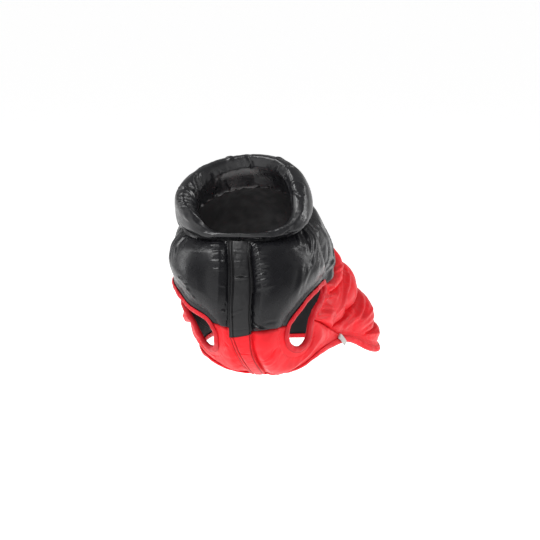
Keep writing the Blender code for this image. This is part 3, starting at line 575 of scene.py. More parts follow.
def smooth_line(rows, samples=40):
    """Dense (s, angle) line through rows of s and degrees, smooth along their length."""
    rows = np.asarray(rows, float)
    rows[:, 1] = np.radians(rows[:, 1])
    knots = travelled(form(rows[:, 0], rows[:, 1]))
    return natural_spline(knots, rows)(np.linspace(0, knots[-1], samples * (len(rows) - 1) + 1))


# ---- Seam lines, by side (+1 left, -1 right) ----
neck_rows = looped(NECK, 360)
neck_height = natural_spline(neck_rows[:, 0], neck_rows[:, 1])
hem_rows = [(-d, right) for d, _, right in HEM[:0:-1]] + [(d, left) for d, left, _ in HEM]
hem_rows = looped(hem_rows[1:], 360)
hem_height = natural_spline(hem_rows[:, 0], hem_rows[:, 1])


def neck_line(start_degrees, end_degrees, samples=160):
    degrees = np.linspace(start_degrees, end_degrees, samples)
    return np.stack([neck_height(degrees % 360)[:, 0], np.radians(degrees)], -1)


def hem_line(start_degrees, end_degrees, samples=240):
    degrees = np.linspace(start_degrees, end_degrees, samples)
    wrapped = (degrees + 180) % 360 - 180
    return np.stack([hem_height(wrapped)[:, 0], np.radians(degrees)], -1)


def armhole_arc(side, first, last, samples=40):
    """Edge of one armhole between two rows of ARMHOLE; it runs front, bottom, rear."""
    pick = (0, 1) if side > 0 else (2, 3)
    rows = np.asarray(ARMHOLE, float)[:, pick] * (1, side)
    loop = looped(rows)
    loop[:, 1] = np.radians(loop[:, 1])
    knots = travelled(form(loop[:, 0], loop[:, 1]))
    end = last if last > first else last + len(rows)
    steps = np.linspace(knots[first + 3], knots[end + 3], samples * (end - first) + 1)
    return natural_spline(knots, loop)(steps)


def shoulder_line(side):
    top = neck_line(side * SHOULDER_DEGREES, side * SHOULDER_DEGREES, 1)[0]
    tip = armhole_arc(side, TIP, CHEST_END)[0]
    return top + (tip - top) * np.linspace(0, 1, 60)[:, None]


def chest_line(side):
    end = armhole_arc(side, CHEST_END, SIDE_START)[0]
    start = np.array([CHEST_CENTRE_S, 0.0])
    share = np.linspace(0, 1, 40)[:, None]
    return start + (end - start) * share - np.sin(np.pi * share) * (CHEST_SEAM_RISE, 0)


def side_line(side):
    start = armhole_arc(side, SIDE_START, TIP)[0]
    end = hem_line(side * SIDE_END_DEGREES, side * SIDE_END_DEGREES, 1)[0]
    rows = [(start[0], math.degrees(start[1]))]
    rows += [(s, side * degrees) for s, degrees in SIDE_SEAM]
    rows += [(end[0], math.degrees(end[1]))]
    return smooth_line(rows)


def yoke_line():
    """Seam from the left armhole tip over the spine to the right one; angles run past 180."""
    left, right = (armhole_arc(side, TIP, CHEST_END)[0] for side in (1, -1))
    rows = [(left[0], math.degrees(left[1]))] + YOKE_SEAM
    rows += [(s, 360 - degrees) for s, degrees in YOKE_SEAM[-2::-1]]
    rows += [(right[0], 360 + math.degrees(right[1]))]
    return smooth_line(rows)


def centre_line(start_s, end_s):
    s = np.linspace(start_s, end_s, 60)
    return np.stack([s, np.zeros_like(s)], -1)


# ---- Panels ----
def patch(top, bottom, left, right, reach=1):
    """Grid of (s, angle) points between four edges; top and left start at one corner.

    Its columns are straight from top to bottom, but for the bend of the left and right edges,
    which fades across the grid. A reach of 1 makes a Coons patch.
    """
    u = np.linspace(0, 1, len(top))[None, :, None]
    v = np.linspace(0, 1, len(left))[:, None]
    left_bend = left - (1 - v) * left[0] - v * left[-1]
    right_bend = right - (1 - v) * right[0] - v * right[-1]
    columns = (1 - v)[:, None] * top[None] + v[:, None] * bottom[None]
    return columns + (1 - u)**reach * left_bend[:, None] + u**reach * right_bend[:, None]


def nearest(points, lines):
    """Distance in metres from each (s, angle) point to the nearest of some lines."""
    dense = np.concatenate([evenly(line, NEAREST_STEPS) for line in lines])
    tree = KDTree(len(dense))
    for index, spot in enumerate(form(dense[:, 0], dense[:, 1])):
        tree.insert(spot, index)
    tree.balance()
    flat = form(points[..., 0], points[..., 1]).reshape(-1, 3)
    return np.array([tree.find(spot)[2] for spot in flat]).reshape(points.shape[:-1])


def rounded(share):
    """Quarter of a round edge, from 0 at a seam to 1 where the padding is full."""
    return np.sqrt(1 - (1 - np.clip(share, 0, 1))**2)


def eased(share):
    """Soft rise from 0 to 1."""
    share = np.clip(share, 0, 1)
    return share**2 * (3 - 2 * share)


def padding(points, depth, seams, with_hem=False, with_neck=False):
    """Height of a padded panel's outside: round at its seams, flat next to bound edges."""
    full = rounded(nearest(points, seams) / SEAM_ROUND)
    bound = [armhole_arc(side, TIP, TIP) + (0, turn) for side, turn in ((1, 0), (-1, 0), (-1, math.tau))]
    if with_hem:
        bound.append(hem_line(0, 360))
    full = np.minimum(full, eased((nearest(points, bound) - BOUND_FLAT) / BOUND_ROUND))
    if with_neck:
        full = np.minimum(full, eased((nearest(points, [neck_line(0, 360)]) - NECK_FLAT) / NECK_ROUND))
    return depth * full


def beside_strip(points, side):
    """Share of the padding next to the front strip, which lies on a thin middle."""
    right_s, right_degrees, left_s, left_degrees = np.transpose(STRIP + STRIP_TAIL)
    s, degrees = (right_s, -right_degrees) if side < 0 else (left_s, left_degrees)
    clear = np.radians(np.interp(points[..., 0], s, degrees) + STRIP_CLEAR_DEGREES)
    return eased((np.abs(points[..., 1]) - clear) / STRIP_ROUND)


def folds(name, points):
    """Sum of a panel's ridges, each fading at both ends of its line."""
    height = np.zeros(points.shape[:-1])
    spots = form(points[..., 0], points[..., 1])
    for panel, start_s, start_degrees, end_s, end_degrees, width, rise in FOLDS:
        if panel != name:
            continue
        start = form(start_s, math.radians(start_degrees))
        run = form(end_s, math.radians(end_degrees)) - start
        share = (spots - start) @ run / (run @ run)
        away = np.linalg.norm(spots - start - np.clip(share, 0, 1)[..., None] * run, axis=-1)
        fade = np.sin(np.pi * np.clip(share, 0, 1))**0.5
        height += rise * fade * np.exp(-(away / width)**2)
    return height


def seam_inset(points):
    """Shift of each border point of a grid away from the border, half a seam gap in each direction."""
    s, angle = points[..., 0], points[..., 1]
    spots, normal = form(s, angle), outward(s, angle)
    shift = np.zeros_like(spots)
    for border, inner in (((0, slice(None)), (1, slice(None))), ((-1, slice(None)), (-2, slice(None))),
                          ((slice(None), 0), (slice(None), 1)), ((slice(None), -1), (slice(None), -2))):
        line = spots[border]
        inward = unit(np.cross(normal[border], np.gradient(line, axis=0)))
        towards = np.sign(np.sum(inward * (spots[inner] - line), axis=1, keepdims=True))
        shift[border] += inward * towards * SEAM_GAP / 2
    return shift


# ---- Fine grids and settling cloth ----
def finer(grid, factor):
    """Grid with each step split by a smooth curve, in both directions."""
    for axis in (0, 1):
        values = np.moveaxis(grid, axis, 0)
        count = len(values)
        at = natural_spline(np.arange(count), values.reshape(count, -1))
        fine = at(np.linspace(0, count - 1, (count - 1) * factor + 1))
        grid = np.moveaxis(fine.reshape(-1, *values.shape[1:]), 0, axis)
    return grid


def speckle(shape, smoothing):
    """Seeded noise of unit size, smoothed over its neighbours."""
    noise = chance.standard_normal(shape)
    for _ in range(smoothing):
        noise = (noise + np.roll(noise, 1, 0) + np.roll(noise, -1, 0)
                 + np.roll(noise, 1, 1) + np.roll(noise, -1, 1)) / 5
    return noise / noise.std()


def softened(values, rounds):
    """Grid of values averaged over its neighbours, with the border kept."""
    for _ in range(rounds):
        wide = np.pad(values, 1, mode="edge")
        mean = (wide[:-2, 1:-1] + wide[2:, 1:-1] + wide[1:-1, :-2] + wide[1:-1, 2:]) / 4
        values = values * 0.4 + mean * 0.6
    return values


def grid_faces(index):
    """Quads between the neighbours of a grid of vertex numbers."""
    return np.stack([index[:-1, :-1], index[:-1, 1:], index[1:, 1:], index[1:, :-1]], -1).reshape(-1, 4)


def settled(base, normal, pins, pressure, growth):
    """Grid after its cloth, a little too large for its seams, has filled out and wrinkled."""
    rows, columns = base.shape[:2]
    faces = grid_faces(np.arange(rows * columns).reshape(rows, columns))
    i, j = rows // 2, columns // 2
    across = np.cross(base[i, j + 1] - base[i, j], base[i + 1, j] - base[i, j])
    if across @ normal[i, j] < 0:
        faces = faces[:, ::-1]
    mesh = bpy.data.meshes.new("settling")
    mesh.from_pydata((base.reshape(-1, 3) * SIM_SCALE).tolist(), [], faces.tolist())
    item = bpy.data.objects.new("settling", mesh)
    bpy.context.scene.collection.objects.link(item)
    group = item.vertex_groups.new(name="pins")
    for index, weight in enumerate(pins.ravel()):
        if weight > 0:
            group.add([index], float(weight), "REPLACE")
    cloth = item.modifiers.new("cloth", "CLOTH")
    settings = cloth.settings
    settings.quality = CLOTH_QUALITY
    settings.mass = CLOTH_MASS
    settings.air_damping = AIR_DAMPING
    settings.tension_stiffness = settings.compression_stiffness = STRETCH_STIFF
    settings.shear_stiffness = SHEAR_STIFF
    settings.bending_stiffness = BEND_STIFF
    settings.tension_damping = settings.compression_damping = settings.shear_damping = STRETCH_DAMPING
    settings.bending_damping = BEND_DAMPING
    settings.vertex_group_mass = "pins"
    settings.pin_stiffness = 1.0
    settings.use_pressure = True
    settings.uniform_pressure_force = pressure
    settings.shrink_min = -growth
    settings.effector_weights.gravity = 0
    cloth.collision_settings.use_collision = False
    cloth.point_cache.frame_start = 1
    cloth.point_cache.frame_end = SIM_FRAMES
    scene = bpy.context.scene
    for number in range(1, SIM_FRAMES + 1):
        scene.frame_set(number)
    shape = item.evaluated_get(bpy.context.evaluated_depsgraph_get())
    result = shape.to_mesh()
    spots = np.empty(len(result.vertices) * 3)
    result.vertices.foreach_get("co", spots)
    shape.to_mesh_clear()
    bpy.data.objects.remove(item, do_unlink=True)
    scene.frame_set(1)
    return spots.reshape(base.shape) / SIM_SCALE


def crease_height(spots, lines):
    """Sum of the listed folds and troughs at points in space."""
    height = np.zeros(spots.shape[:-1])
    for rise, width, line in lines:
        box = np.all((spots > line.min(0) - 4 * width) & (spots < line.max(0) + 4 * width), axis=-1)
        if not box.any():
            continue
        near = spots[box]
        gaps = np.linalg.norm(near[:, None] - line[None], axis=2)
        pick = gaps.argmin(1)
        away = gaps[np.arange(len(near)), pick]
        run = pick / (len(line) - 1)
        fade = np.sin(np.pi * np.clip(run, 0.02, 0.98))**0.6
        ridge = np.exp(-(away / width)**2)
        beside = np.exp(-((away - 1.7 * width) / (0.8 * width))**2)    # a shallow dip along the ridge
        height[box] += rise * fade * (ridge - 0.2 * beside)
    return height


def form_line(knots):
    """Points in space along the knots of a crease."""
    line = smooth_line([(s * MM, degrees) for s, degrees in knots], CREASE_SAMPLES)
    return form(line[:, 0], line[:, 1])


form_creases = [(rise * MM, width * MM, form_line(knots)) for rise, width, *knots in CREASES + BACK_CREASES]


strip_rows = np.array(STRIP + STRIP_TAIL)
strip_edges = [smooth_line(strip_rows[:, :2]), smooth_line(strip_rows[:, 2:])]


def borders(points):
    return [points[0], points[-1], points[:, 0], points[:, -1]]


def object_from(name, vertices, faces, uv, material, marks=(), lined=None):
    """Smooth-shaded mesh object; uv and the marks have one row for each vertex, lined one for each face."""
    mesh = bpy.data.meshes.new(name)
    mesh.from_pydata(vertices.tolist(), [], faces)
    layer = mesh.uv_layers.new(name="UVMap")
    corners = np.empty(len(mesh.loops), int)
    mesh.loops.foreach_get("vertex_index", corners)
    layer.data.foreach_set("uv", uv[corners].astype(np.float32).ravel())
    for mark, values in marks:
        mesh.attributes.new(mark, "FLOAT", "POINT").data.foreach_set("value", values.astype(np.float32))
    mesh.materials.append(material)
    if lined is not None:
        mesh.materials.append(lining)
        mesh.polygons.foreach_set("material_index", np.asarray(lined, np.int32))
    shape = bmesh.new()
    shape.from_mesh(mesh)
    bmesh.ops.recalc_face_normals(shape, faces=shape.faces)
    shape.to_mesh(mesh)
    shape.free()
    mesh.shade_smooth()
    mesh.set_sharp_from_angle(angle=math.radians(60))
    item = bpy.data.objects.new(name, mesh)
    bpy.context.scene.collection.objects.link(item)
    return item


def shell(name, node, kind, points, height, rows_pinned=None, at_neck=False):
    """Padded panel: a settled and creased outer skin, a plain inner one and a rim between them."""
    keep, pressure, growth, crisp, fill, factor = CLOTH[kind]
    inset = seam_inset(points)
    normal = outward(points[..., 0], points[..., 1])
    before = EDGE + height * keep
    base = raised(points, before) + inset
    edges = borders(points)
    border = nearest(points, edges)
    uneven = speckle(base.shape[:2], ROUGH_ROUNDS) * ROUGH * (height > 0.001)
    pins = np.where(height < THIN, THIN_PIN, 0.0)
    pins[border < 1e-5] = 1
    if rows_pinned is not None:
        pins[rows_pinned] = 1
    outer = settled(base + normal * uneven[..., None], normal, pins, pressure, growth)
    moved = outer - base
    lift = np.sum(moved * normal, axis=-1)
    slide = moved - lift[..., None] * normal
    reach = np.linalg.norm(slide, axis=-1, keepdims=True)
    slide *= crisp * np.minimum(1, 0.5 * border[..., None] / np.maximum(reach, 1e-9))
    calm = softened(lift, SOFT_ROUNDS)
    high = np.where(height < THIN, EDGE, before + 0.001 + 1.1 * height)
    top = np.clip(before + calm + crisp * (lift - calm), np.minimum(LEAST_TOP, before), high)

    fine_points = finer(points, factor)
    s, angle = fine_points[..., 0], fine_points[..., 1]
    spots = form(s, angle)
    border = nearest(fine_points, edges)
    tucked = nearest(fine_points, edges[1:]) if at_neck else border
    room = eased(finer(height[..., None], factor)[..., 0] / CREASE_ROOM)
    top = finer(top[..., None], factor)[..., 0] + crease_height(spots, form_creases) * room
    top -= SEAM_TUCK * np.exp(-(tucked / SEAM_TUCK_WIDTH)**2)
    beside = nearest(fine_points, strip_edges) - STRIP_TUCK_OUT
    top -= STRIP_TUCK * np.exp(-(beside / STRIP_TUCK_WIDTH)**2)
    outer = spots + finer(inset, factor) + finer(slide, factor) + outward(s, angle) * top[..., None]
    inner = form(points[..., 0], points[..., 1]) + inset
    rubbed = np.exp(-((border - WEAR_WIDTH) / WEAR_WIDTH)**2)
    rubbed *= np.clip(0.6 + 0.4 * speckle(border.shape, 4), 0, 1)
    black = kind in ("front", "yoke")
    item = closed_shell(name, outer, inner, factor, rubbed, black_nylon if black else red_nylon)
    declare(item, node)
    return outer


def closed_shell(name, outer, inner, factor, rubbed, material):
    """Mesh of an outer skin, an inner one with a factor fewer steps, and a rim between them."""
    rows, columns = outer.shape[:2]
    few_rows, few_columns = inner.shape[:2]
    big = np.arange(rows * columns).reshape(rows, columns)
    small = np.arange(few_rows * few_columns).reshape(few_rows, few_columns) + big.size
    faces = grid_faces(big).tolist()
    lined = [0] * len(faces)
    faces += grid_faces(small)[:, ::-1].tolist()
    lined += [1] * (len(faces) - len(lined))
    for edge, seam in zip(borders(big), borders(small)):
        for k in range(len(seam) - 1):
            faces.append([int(seam[k + 1]), int(seam[k]), *edge[k * factor:(k + 1) * factor + 1].tolist()])
    lined += [0] * (len(faces) - len(lined))
    across = np.linalg.norm(np.diff(outer, axis=1), axis=-1).mean() * (columns - 1)
    down = np.linalg.norm(np.diff(outer, axis=0), axis=-1).mean() * (rows - 1)
    uv = np.concatenate([flat_uv(*grid.shape, across, down) for grid in (big, small)])
    vertices = np.concatenate([outer.reshape(-1, 3), inner.reshape(-1, 3)])
    wear = np.concatenate([rubbed.ravel(), np.zeros(small.size)])
    return object_from(name, vertices, faces, uv, material, [("wear", wear)], lined)


def flat_uv(rows, columns, across, down):
    u, v = np.meshgrid(np.linspace(0, across, columns), np.linspace(0, down, rows))
    return np.stack([u, v], -1).reshape(-1, 2)


def declare(item, node):
    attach(item, "root")
    if node:
        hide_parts(node)


def front(side, name):
    """Black chest panel from the centre front to the shoulder and the armhole."""
    bottom = np.vstack([evenly(chest_line(side), CHEST_STEPS),
                        evenly(armhole_arc(side, TIP, CHEST_END)[::-1], ARM_FRONT_STEPS)[1:]])
    neck = neck_line(0, side * SHOULDER_DEGREES)
    centre = centre_line(neck[0, 0], CHEST_CENTRE_S)
    shoulder = shoulder_line(side)
    points = patch(evenly(neck, len(bottom) - 1), bottom, evenly(centre, FRONT_ROWS),
                   evenly(shoulder, FRONT_ROWS))
    height = padding(points, CHEST_PADDING, [shoulder, chest_line(side)], with_neck=True)
    height *= beside_strip(points, side)
    height += FOLD_SHARE * folds(name, points) * height / CHEST_PADDING
    shell(name + "_shell", name, "front", points, height, at_neck=True)


def yoke():
    """Black panel over the withers, from one shoulder seam to the other."""
    seam = yoke_line()
    neck = neck_line(SHOULDER_DEGREES, 360 - SHOULDER_DEGREES)
    left, right = shoulder_line(1), shoulder_line(-1) + (0, math.tau)
    points = patch(evenly(neck, YOKE_STEPS), evenly(seam, YOKE_STEPS), evenly(left, FRONT_ROWS),
                   evenly(right, FRONT_ROWS))
    height = padding(points, YOKE_PADDING, [seam, left, right], with_neck=True)
    height += folds("yoke_back", points) * height / YOKE_PADDING
    shell("yoke_shell", "yoke_back", "yoke", points, height, at_neck=True)


def channel_rows():
    """Row fractions at the side seam and at the spine, and how full each row's channel is there."""
    rows = []
    for (side_a, spine_a, steps), (side_b, spine_b, _) in zip(CHANNELS, CHANNELS[1:]):
        for k in range(steps):
            share = k / steps
            full = math.sin(math.pi * share)**CHANNEL_POWER
            rows.append((side_a + (side_b - side_a) * share, spine_a + (spine_b - spine_a) * share, full))
    rows.append((1.0, 1.0, 0.0))
    return np.array(rows)


def back():
    """Red quilted panel round the back; returns its skin and the rows of it that are quilted down."""
    seam = yoke_line()
    rear_left = armhole_arc(1, SIDE_START, TIP)
    rear_right = armhole_arc(-1, SIDE_START, TIP)[::-1] + (0, math.tau)
    top = np.vstack([evenly(rear_left, ARM_REAR_STEPS), evenly(seam, YOKE_STEPS)[1:],
                     evenly(rear_right, ARM_REAR_STEPS)[1:]])
    hem = hem_line(SIDE_END_DEGREES, 360 - SIDE_END_DEGREES)
    left, right = side_line(1), side_line(-1) + (0, math.tau)
    fine = patch(top, evenly(hem, len(top) - 1), evenly(left, CHANNEL_SAMPLES),
                 evenly(right, CHANNEL_SAMPLES))
    at_side, at_spine, full = channel_rows().T
    over = np.sin(np.linspace(0, np.pi, len(top)))**0.8
    fractions = at_side[:, None] + (at_spine - at_side)[:, None] * over[None]
    levels = np.linspace(0, 1, CHANNEL_SAMPLES + 1)
    points = np.empty((len(full), len(top), 2))
    for j in range(len(top)):
        for k in (0, 1):
            points[:, j, k] = np.interp(fractions[:, j], levels, fine[:, j, k])
    height = padding(points, BACK_PADDING, [left, right], with_hem=True)
    quilted = full < 1e-6
    outer = shell("back_shell", "body_back", "back", points, height * full[:, None], quilted)
    return outer, np.flatnonzero(quilted) * CLOTH["back"][-1]


def belly(side, name):
    """Red panel under the chest seam, round the lower armhole to the side seam."""
    armhole = armhole_arc(side, CHEST_END, SIDE_START)
    top = np.vstack([evenly(chest_line(side), CHEST_STEPS), evenly(armhole, ARM_LOW_STEPS)[1:]])
    hem = hem_line(0, side * SIDE_END_DEGREES)
    centre = centre_line(CHEST_CENTRE_S, hem[0, 0])
    seam = side_line(side)
    under_chest = np.linspace(0, BELLY_HEM_SHARE, CHEST_STEPS + 1)
    bottom = along(hem, np.concatenate([under_chest, BELLY_HEM_SPREAD]))
    points = patch(top, bottom, evenly(centre, BELLY_ROWS), evenly(seam, BELLY_ROWS), BELLY_REACH)
    height = padding(points, BELLY_PADDING, [chest_line(side), seam], with_hem=True)
    height *= beside_strip(points, side)
    shell(name + "_shell", name, "belly", points, height)


def loft(name, rings, closed, material, marks=()):
    """Mesh through a row of equal rings, which joins up with itself or has a cap at each end."""
    stations, size = rings.shape[:2]
    index = np.arange(stations * size).reshape(stations, size)
    caps = [] if closed else [index[0].tolist(), index[-1, ::-1].tolist()]
    index = np.hstack([index, index[:, :1]])
    if closed:
        index = np.vstack([index, index[:1]])
    faces = grid_faces(index).tolist() + caps
    uv = np.stack(np.broadcast_arrays(travelled(rings.mean(1))[:, None], travelled(rings[0])[None]), -1)
    return object_from(name, rings.reshape(-1, 3), faces, uv.reshape(-1, 2), material, marks)


def collar():
    """Puffed stand collar that rolls outward over the neck seam, low at the front."""
    angles = np.linspace(COLLAR_OPENING, math.tau - COLLAR_OPENING, COLLAR_STATIONS)
    table = np.asarray(COLLAR, float)
    rise, bulge, lean, thickness = natural_spline(table[:, 0], table[:, 1:])(np.degrees(angles)).T
    line = np.stack([neck_height(np.degrees(angles))[:, 0], angles], -1)
    upward = np.cross(unit(form(0.0, 0.0) - form(0.0, math.pi)), (1, 0, 0))
    upward *= np.sign(upward[2])
    normal = outward(line[:, 0], line[:, 1])
    aside = unit(normal - (normal @ upward)[:, None] * upward)
    neckward = unit(-slopes(line[:, 0], line[:, 1])[0])
    base = form(line[:, 0], line[:, 1]) + neckward * SEAM_GAP
    outer, inner = [], []
    for level in COLLAR_HEIGHTS:
        middle = bulge * math.sin(math.pi * min(level / 0.9, 1)) - lean * level**2
        half = thickness / 2 * math.sin(math.pi * (0.14 + 0.76 * level))**0.6
        start = base + upward * (rise * level)[:, None]
        if level == 0:
            outer.append(base + normal * EDGE)
            inner.append(base)
        else:
            outer.append(start + normal * COLLAR_LIFT + aside * (middle + half - COLLAR_LIFT / 2)[:, None])
            inner.append(start + aside * (middle - half)[:, None])
    top = base + normal * EDGE / 2 + upward * rise[:, None] - aside * lean[:, None]
    rings = np.stack([*outer, top, *inner[::-1]], 1)
    knots = np.arange(rings.shape[1])
    smooth = natural_spline(knots, np.moveaxis(rings, 1, 0).reshape(len(knots), -1))
    fine = smooth(np.linspace(0, knots[-1], COLLAR_LEVELS + 1)).reshape(COLLAR_LEVELS + 1, -1, 3)
    fine = np.moveaxis(fine, 0, 1)
    out = unit(np.cross(np.gradient(fine, axis=0), np.gradient(fine, axis=1)))
    out *= np.sign(np.sum(out * (fine - fine.mean(1, keepdims=True))))
    swell = np.minimum(thickness / COLLAR_FULL, 1)[:, None]
    pins = np.where(swell < COLLAR_HELD, COLLAR_PIN, 0) * np.ones(fine.shape[:2])
    pins[[0, -1]] = pins[:, [0, -1]] = 1
    start = fine - out * (COLLAR_SHRUNK * swell)[..., None]
    start += out * (speckle(start.shape[:2], ROUGH_ROUNDS) * COLLAR_ROUGH * swell)[..., None]
    moved = settled(start, out, pins, COLLAR_PRESSURE, COLLAR_GROWTH) - fine
    size = np.linalg.norm(moved, axis=-1, keepdims=True)
    most = (COLLAR_GIVE * eased((swell - COLLAR_FREE) / COLLAR_FREER))[..., None]
    fine = fine + moved * np.minimum(1, most / np.maximum(size, 1e-9))
    fine = finer(fine, 2)
    stations, levels = fine.shape[:2]
    lines = []
    for rise, width, *knots in COLLAR_CREASES:
        places = natural_spline(np.arange(len(knots)), knots)(np.linspace(0, len(knots) - 1, 30))
        i = np.rint(np.interp(np.radians(places[:, 0]), angles, np.linspace(0, stations - 1, len(angles))))
        j = np.rint(places[:, 1] * (levels - 1))
        lines.append((rise * MM, width * MM, fine[i.astype(int), j.astype(int)]))
    fine = fine + finer(out, 2) * crease_height(fine, lines)[..., None]
    item = loft("collar_shell", fine, False, collar_nylon_lightened)
    declare(item, "collar")


def strip(name, rows, material):
    """Flat strip over the centre front, with a hollow along each row of stitches and painted shade in each
    hollow.
    """
    table = np.asarray(rows, float)
    table[:, [1, 3]] = np.radians(table[:, [1, 3]])
    stations = np.linspace(table[0, 0], table[-1, 0], STRIP_STATIONS)
    edges = natural_spline(table[:, 0], table)(stations)
    share = np.linspace(0, 1, STRIP_POINTS)
    line = edges[:, None, :2] + (edges[:, None, 2:] - edges[:, None, :2]) * share[None, :, None]
    flat_spots = form(line[..., 0], line[..., 1])
    width = np.linalg.norm(flat_spots[:, -1] - flat_spots[:, 0], axis=1)[:, None]
    from_right = share[None] * width
    from_left = width - from_right
    edge_round = STRIP_THICKNESS * (rounded(np.minimum(from_right, from_left) / STRIP_EDGE_ROUND) - 1) * 0.6
    grooves = sum(np.exp(-((from_left - x) / STITCH_HOLLOW)**2) for x in STITCH_LEFT)
    grooves = grooves + sum(np.exp(-((from_right - x) / STITCH_HOLLOW)**2) for x in STITCH_RIGHT)
    grooves = np.minimum(grooves, 1)
    bow = np.sin(np.pi * share)[None]
    top = EDGE + LAID_ON + STRIP_THICKNESS + edge_round + STRIP_PUFF * bow**0.5 - STITCH_DEPTH * grooves
    top = top + STRIP_UNEVEN * speckle(top.shape, 20) * bow
    top = top + crease_height(flat_spots, form_creases) * bow**0.4 * STRIP_CREASE_SHARE
    high = raised(line, np.maximum(top, EDGE + LAID_ON + 0.0007))
    low = raised(line[:, ::6], np.full(line[:, ::6].shape[:2], EDGE + LAID_ON))
    rings = np.concatenate([low, high[:, ::-1]], 1)
    # the stitch hollows are marked so that the cloth's colour is darkened there: painted shade
    marks = [("groove_shade", np.concatenate([np.zeros(low.shape[:2]), grooves[:, ::-1]], 1).ravel())]
    item = loft(name, rings, False, material, marks)
    declare(item, name.replace("_cloth", ""))
    seams = []
    for share_at in [x / width[:, 0] for x in STITCH_RIGHT] + [1 - x / width[:, 0] for x in STITCH_LEFT]:
        spots = np.array([read_at(at, share, row) for at, row in zip(share_at, high)])
        middle = edges[:, :2] + (edges[:, 2:] - edges[:, :2]) * share_at[:, None]
        seams.append((spots, outward(middle[:, 0], middle[:, 1])))
    return seams


def binding(name, edge, material, node):
    """Tape folded round a closed edge, drawn in a little by its stitches."""
    spots = form(edge[:, 0], edge[:, 1])
    tangent = np.roll(spots, -1, 0) - np.roll(spots, 1, 0)
    inward = unit(np.cross(outward(edge[:, 0], edge[:, 1]), tangent))
    ripple = speckle((len(edge), 3), 2)[:, 0] * TAPE_RIPPLE
    rings = np.stack([raised(shifted(edge, inward, distance), height + ripple * give)
                      for distance, height, give in BINDING_FINE], 1)
    item = loft(name, rings, True, material)
    declare(item, node)
    row = rings[:, TAPE_STITCH_ROW]
    return np.vstack([row, row[:1]]), outward(*np.vstack([edge, edge[:1]]).T)


def read_at(lengths, run, rows):
    """Rows of a line, read at lengths along it."""
    return np.stack([np.interp(lengths, run, rows[:, k]) for k in range(3)], -1)


def stitches(name, lines, material):
    """Small thread stitches along lines of (points, normals), each a short rod of five rings."""
    shares = np.array([0.0, 0.2, 0.5, 0.8, 1.0])
    swell = np.sin(np.pi * (0.12 + 0.76 * shares))[:, None]
    turns = np.linspace(0, math.tau, 5, endpoint=False)[:, None]
    index = np.arange(25).reshape(5, 5)
    rod = grid_faces(np.hstack([index, index[:, :1]])).tolist()
    rod += [index[0].tolist(), index[-1, ::-1].tolist()]
    vertices, faces = [], []
    for spots, normals in lines:
        run = travelled(spots)
        for start in np.arange(STITCH_START, run[-1] - STITCH, STITCH + STITCH_GAP):
            lengths = start + STITCH * shares
            centre, up = read_at(lengths, run, spots), unit(read_at(lengths, run, normals))
            side = unit(np.cross(read_at(lengths + STITCH_LOOK, run, spots) - centre, up))
            middle = centre + up * (THREAD_RISE * swell - THREAD_SUNK)
            spokes = side[:, None] * np.cos(turns) + up[:, None] * np.sin(turns) * THREAD_FLAT
            faces += [[25 * len(vertices) + corner for corner in face] for face in rod]
            vertices.append(middle[:, None] + spokes * THREAD * (0.6 + 0.4 * swell)[:, None])
    vertices = np.concatenate(vertices).reshape(-1, 3)
    declare(object_from(name, vertices, faces, vertices[:, :2] * 10, material), None)


# ---- Pieces ----
for side, word in ((1, "left"), (-1, "right")):
    front(side, "front_" + word)
    belly(side, "belly_" + word)
yoke()
back_skin, quilt_rows = back()
collar()

placket_seams = strip("placket_cloth", STRIP, strip_nylon)
for degrees in BAR_TACKS:
    tack = np.stack([np.linspace(*BAR_TACK_S, 12), np.full(12, math.radians(degrees))], -1)
    height = np.full(12, EDGE + STRIP_THICKNESS + BAR_TACK_LIFT)
    placket_seams.append((raised(tack, height), outward(*tack.T)))
stitches("placket_stitches", placket_seams, black_thread)
tail_seams = strip("placket_tail_cloth", STRIP_TAIL, red_nylon)
stitches("tail_stitches", tail_seams, red_thread)

seams = []
for side, word, cut in ((1, "left", 0.235), (-1, "right", 0.285)):
    arcs = [(TIP, CHEST_END, ARM_FRONT_STEPS), (CHEST_END, SIDE_START, ARM_LOW_STEPS),
            (SIDE_START, TIP, ARM_REAR_STEPS)]
    edge = np.vstack([evenly(armhole_arc(side, first, last), steps)[:-1] for first, last, steps in arcs])
    seams.append(binding("armhole_tape_" + word, edge[::-1] if side > 0 else edge, red_tape,
                         "armhole_binding_" + word))

belly_stations = np.concatenate([[0, BELLY_HEM_SHARE], BELLY_HEM_SPREAD])
left, right = (along(hem_line(0, side * SIDE_END_DEGREES), belly_stations) for side in (1, -1))
rear = evenly(hem_line(SIDE_END_DEGREES, 360 - SIDE_END_DEGREES), YOKE_STEPS + 2 * ARM_REAR_STEPS)
seams.append(binding("hem_tape", np.vstack([left[:-1], rear[:-1], right[:0:-1] + (0, math.tau)]), hem_red,
                     "hem_binding"))
stitches("tape_stitches", seams, red_thread)
facing = unit(np.cross(np.gradient(back_skin, axis=1), np.gradient(back_skin, axis=0)))
quilting = [(back_skin[k], facing[k]) for k in quilt_rows[1:-1]]
stitches("quilting_stitches", quilting, red_thread)

# side tab
table = np.asarray(TAB, float)
line = natural_spline(np.arange(len(table)), table)(np.linspace(0, len(table) - 1, 17))
line[:, 1] = np.radians(line[:, 1])
spots = form(line[:, 0], line[:, 1])
run = np.gradient(spots, axis=0)
across = unit(np.cross(outward(line[:, 0], line[:, 1]), run))
rings = []
for turn, lift in ((-0.5, 0), (-0.25, 0), (0, 0), (0.25, 0), (0.5, 0), (0.5, TAB_THICKNESS),
                   (0.25, TAB_THICKNESS * 1.15), (0, TAB_THICKNESS * 1.2), (-0.25, TAB_THICKNESS * 1.15),
                   (-0.5, TAB_THICKNESS)):
    rings.append(raised(line[:, :2], line[:, 2] + lift) + across * turn * TAB_WIDTH)
tab = loft("side_tab", np.stack(rings, 1), False, grey_tape)
declare(tab, "label_tab")

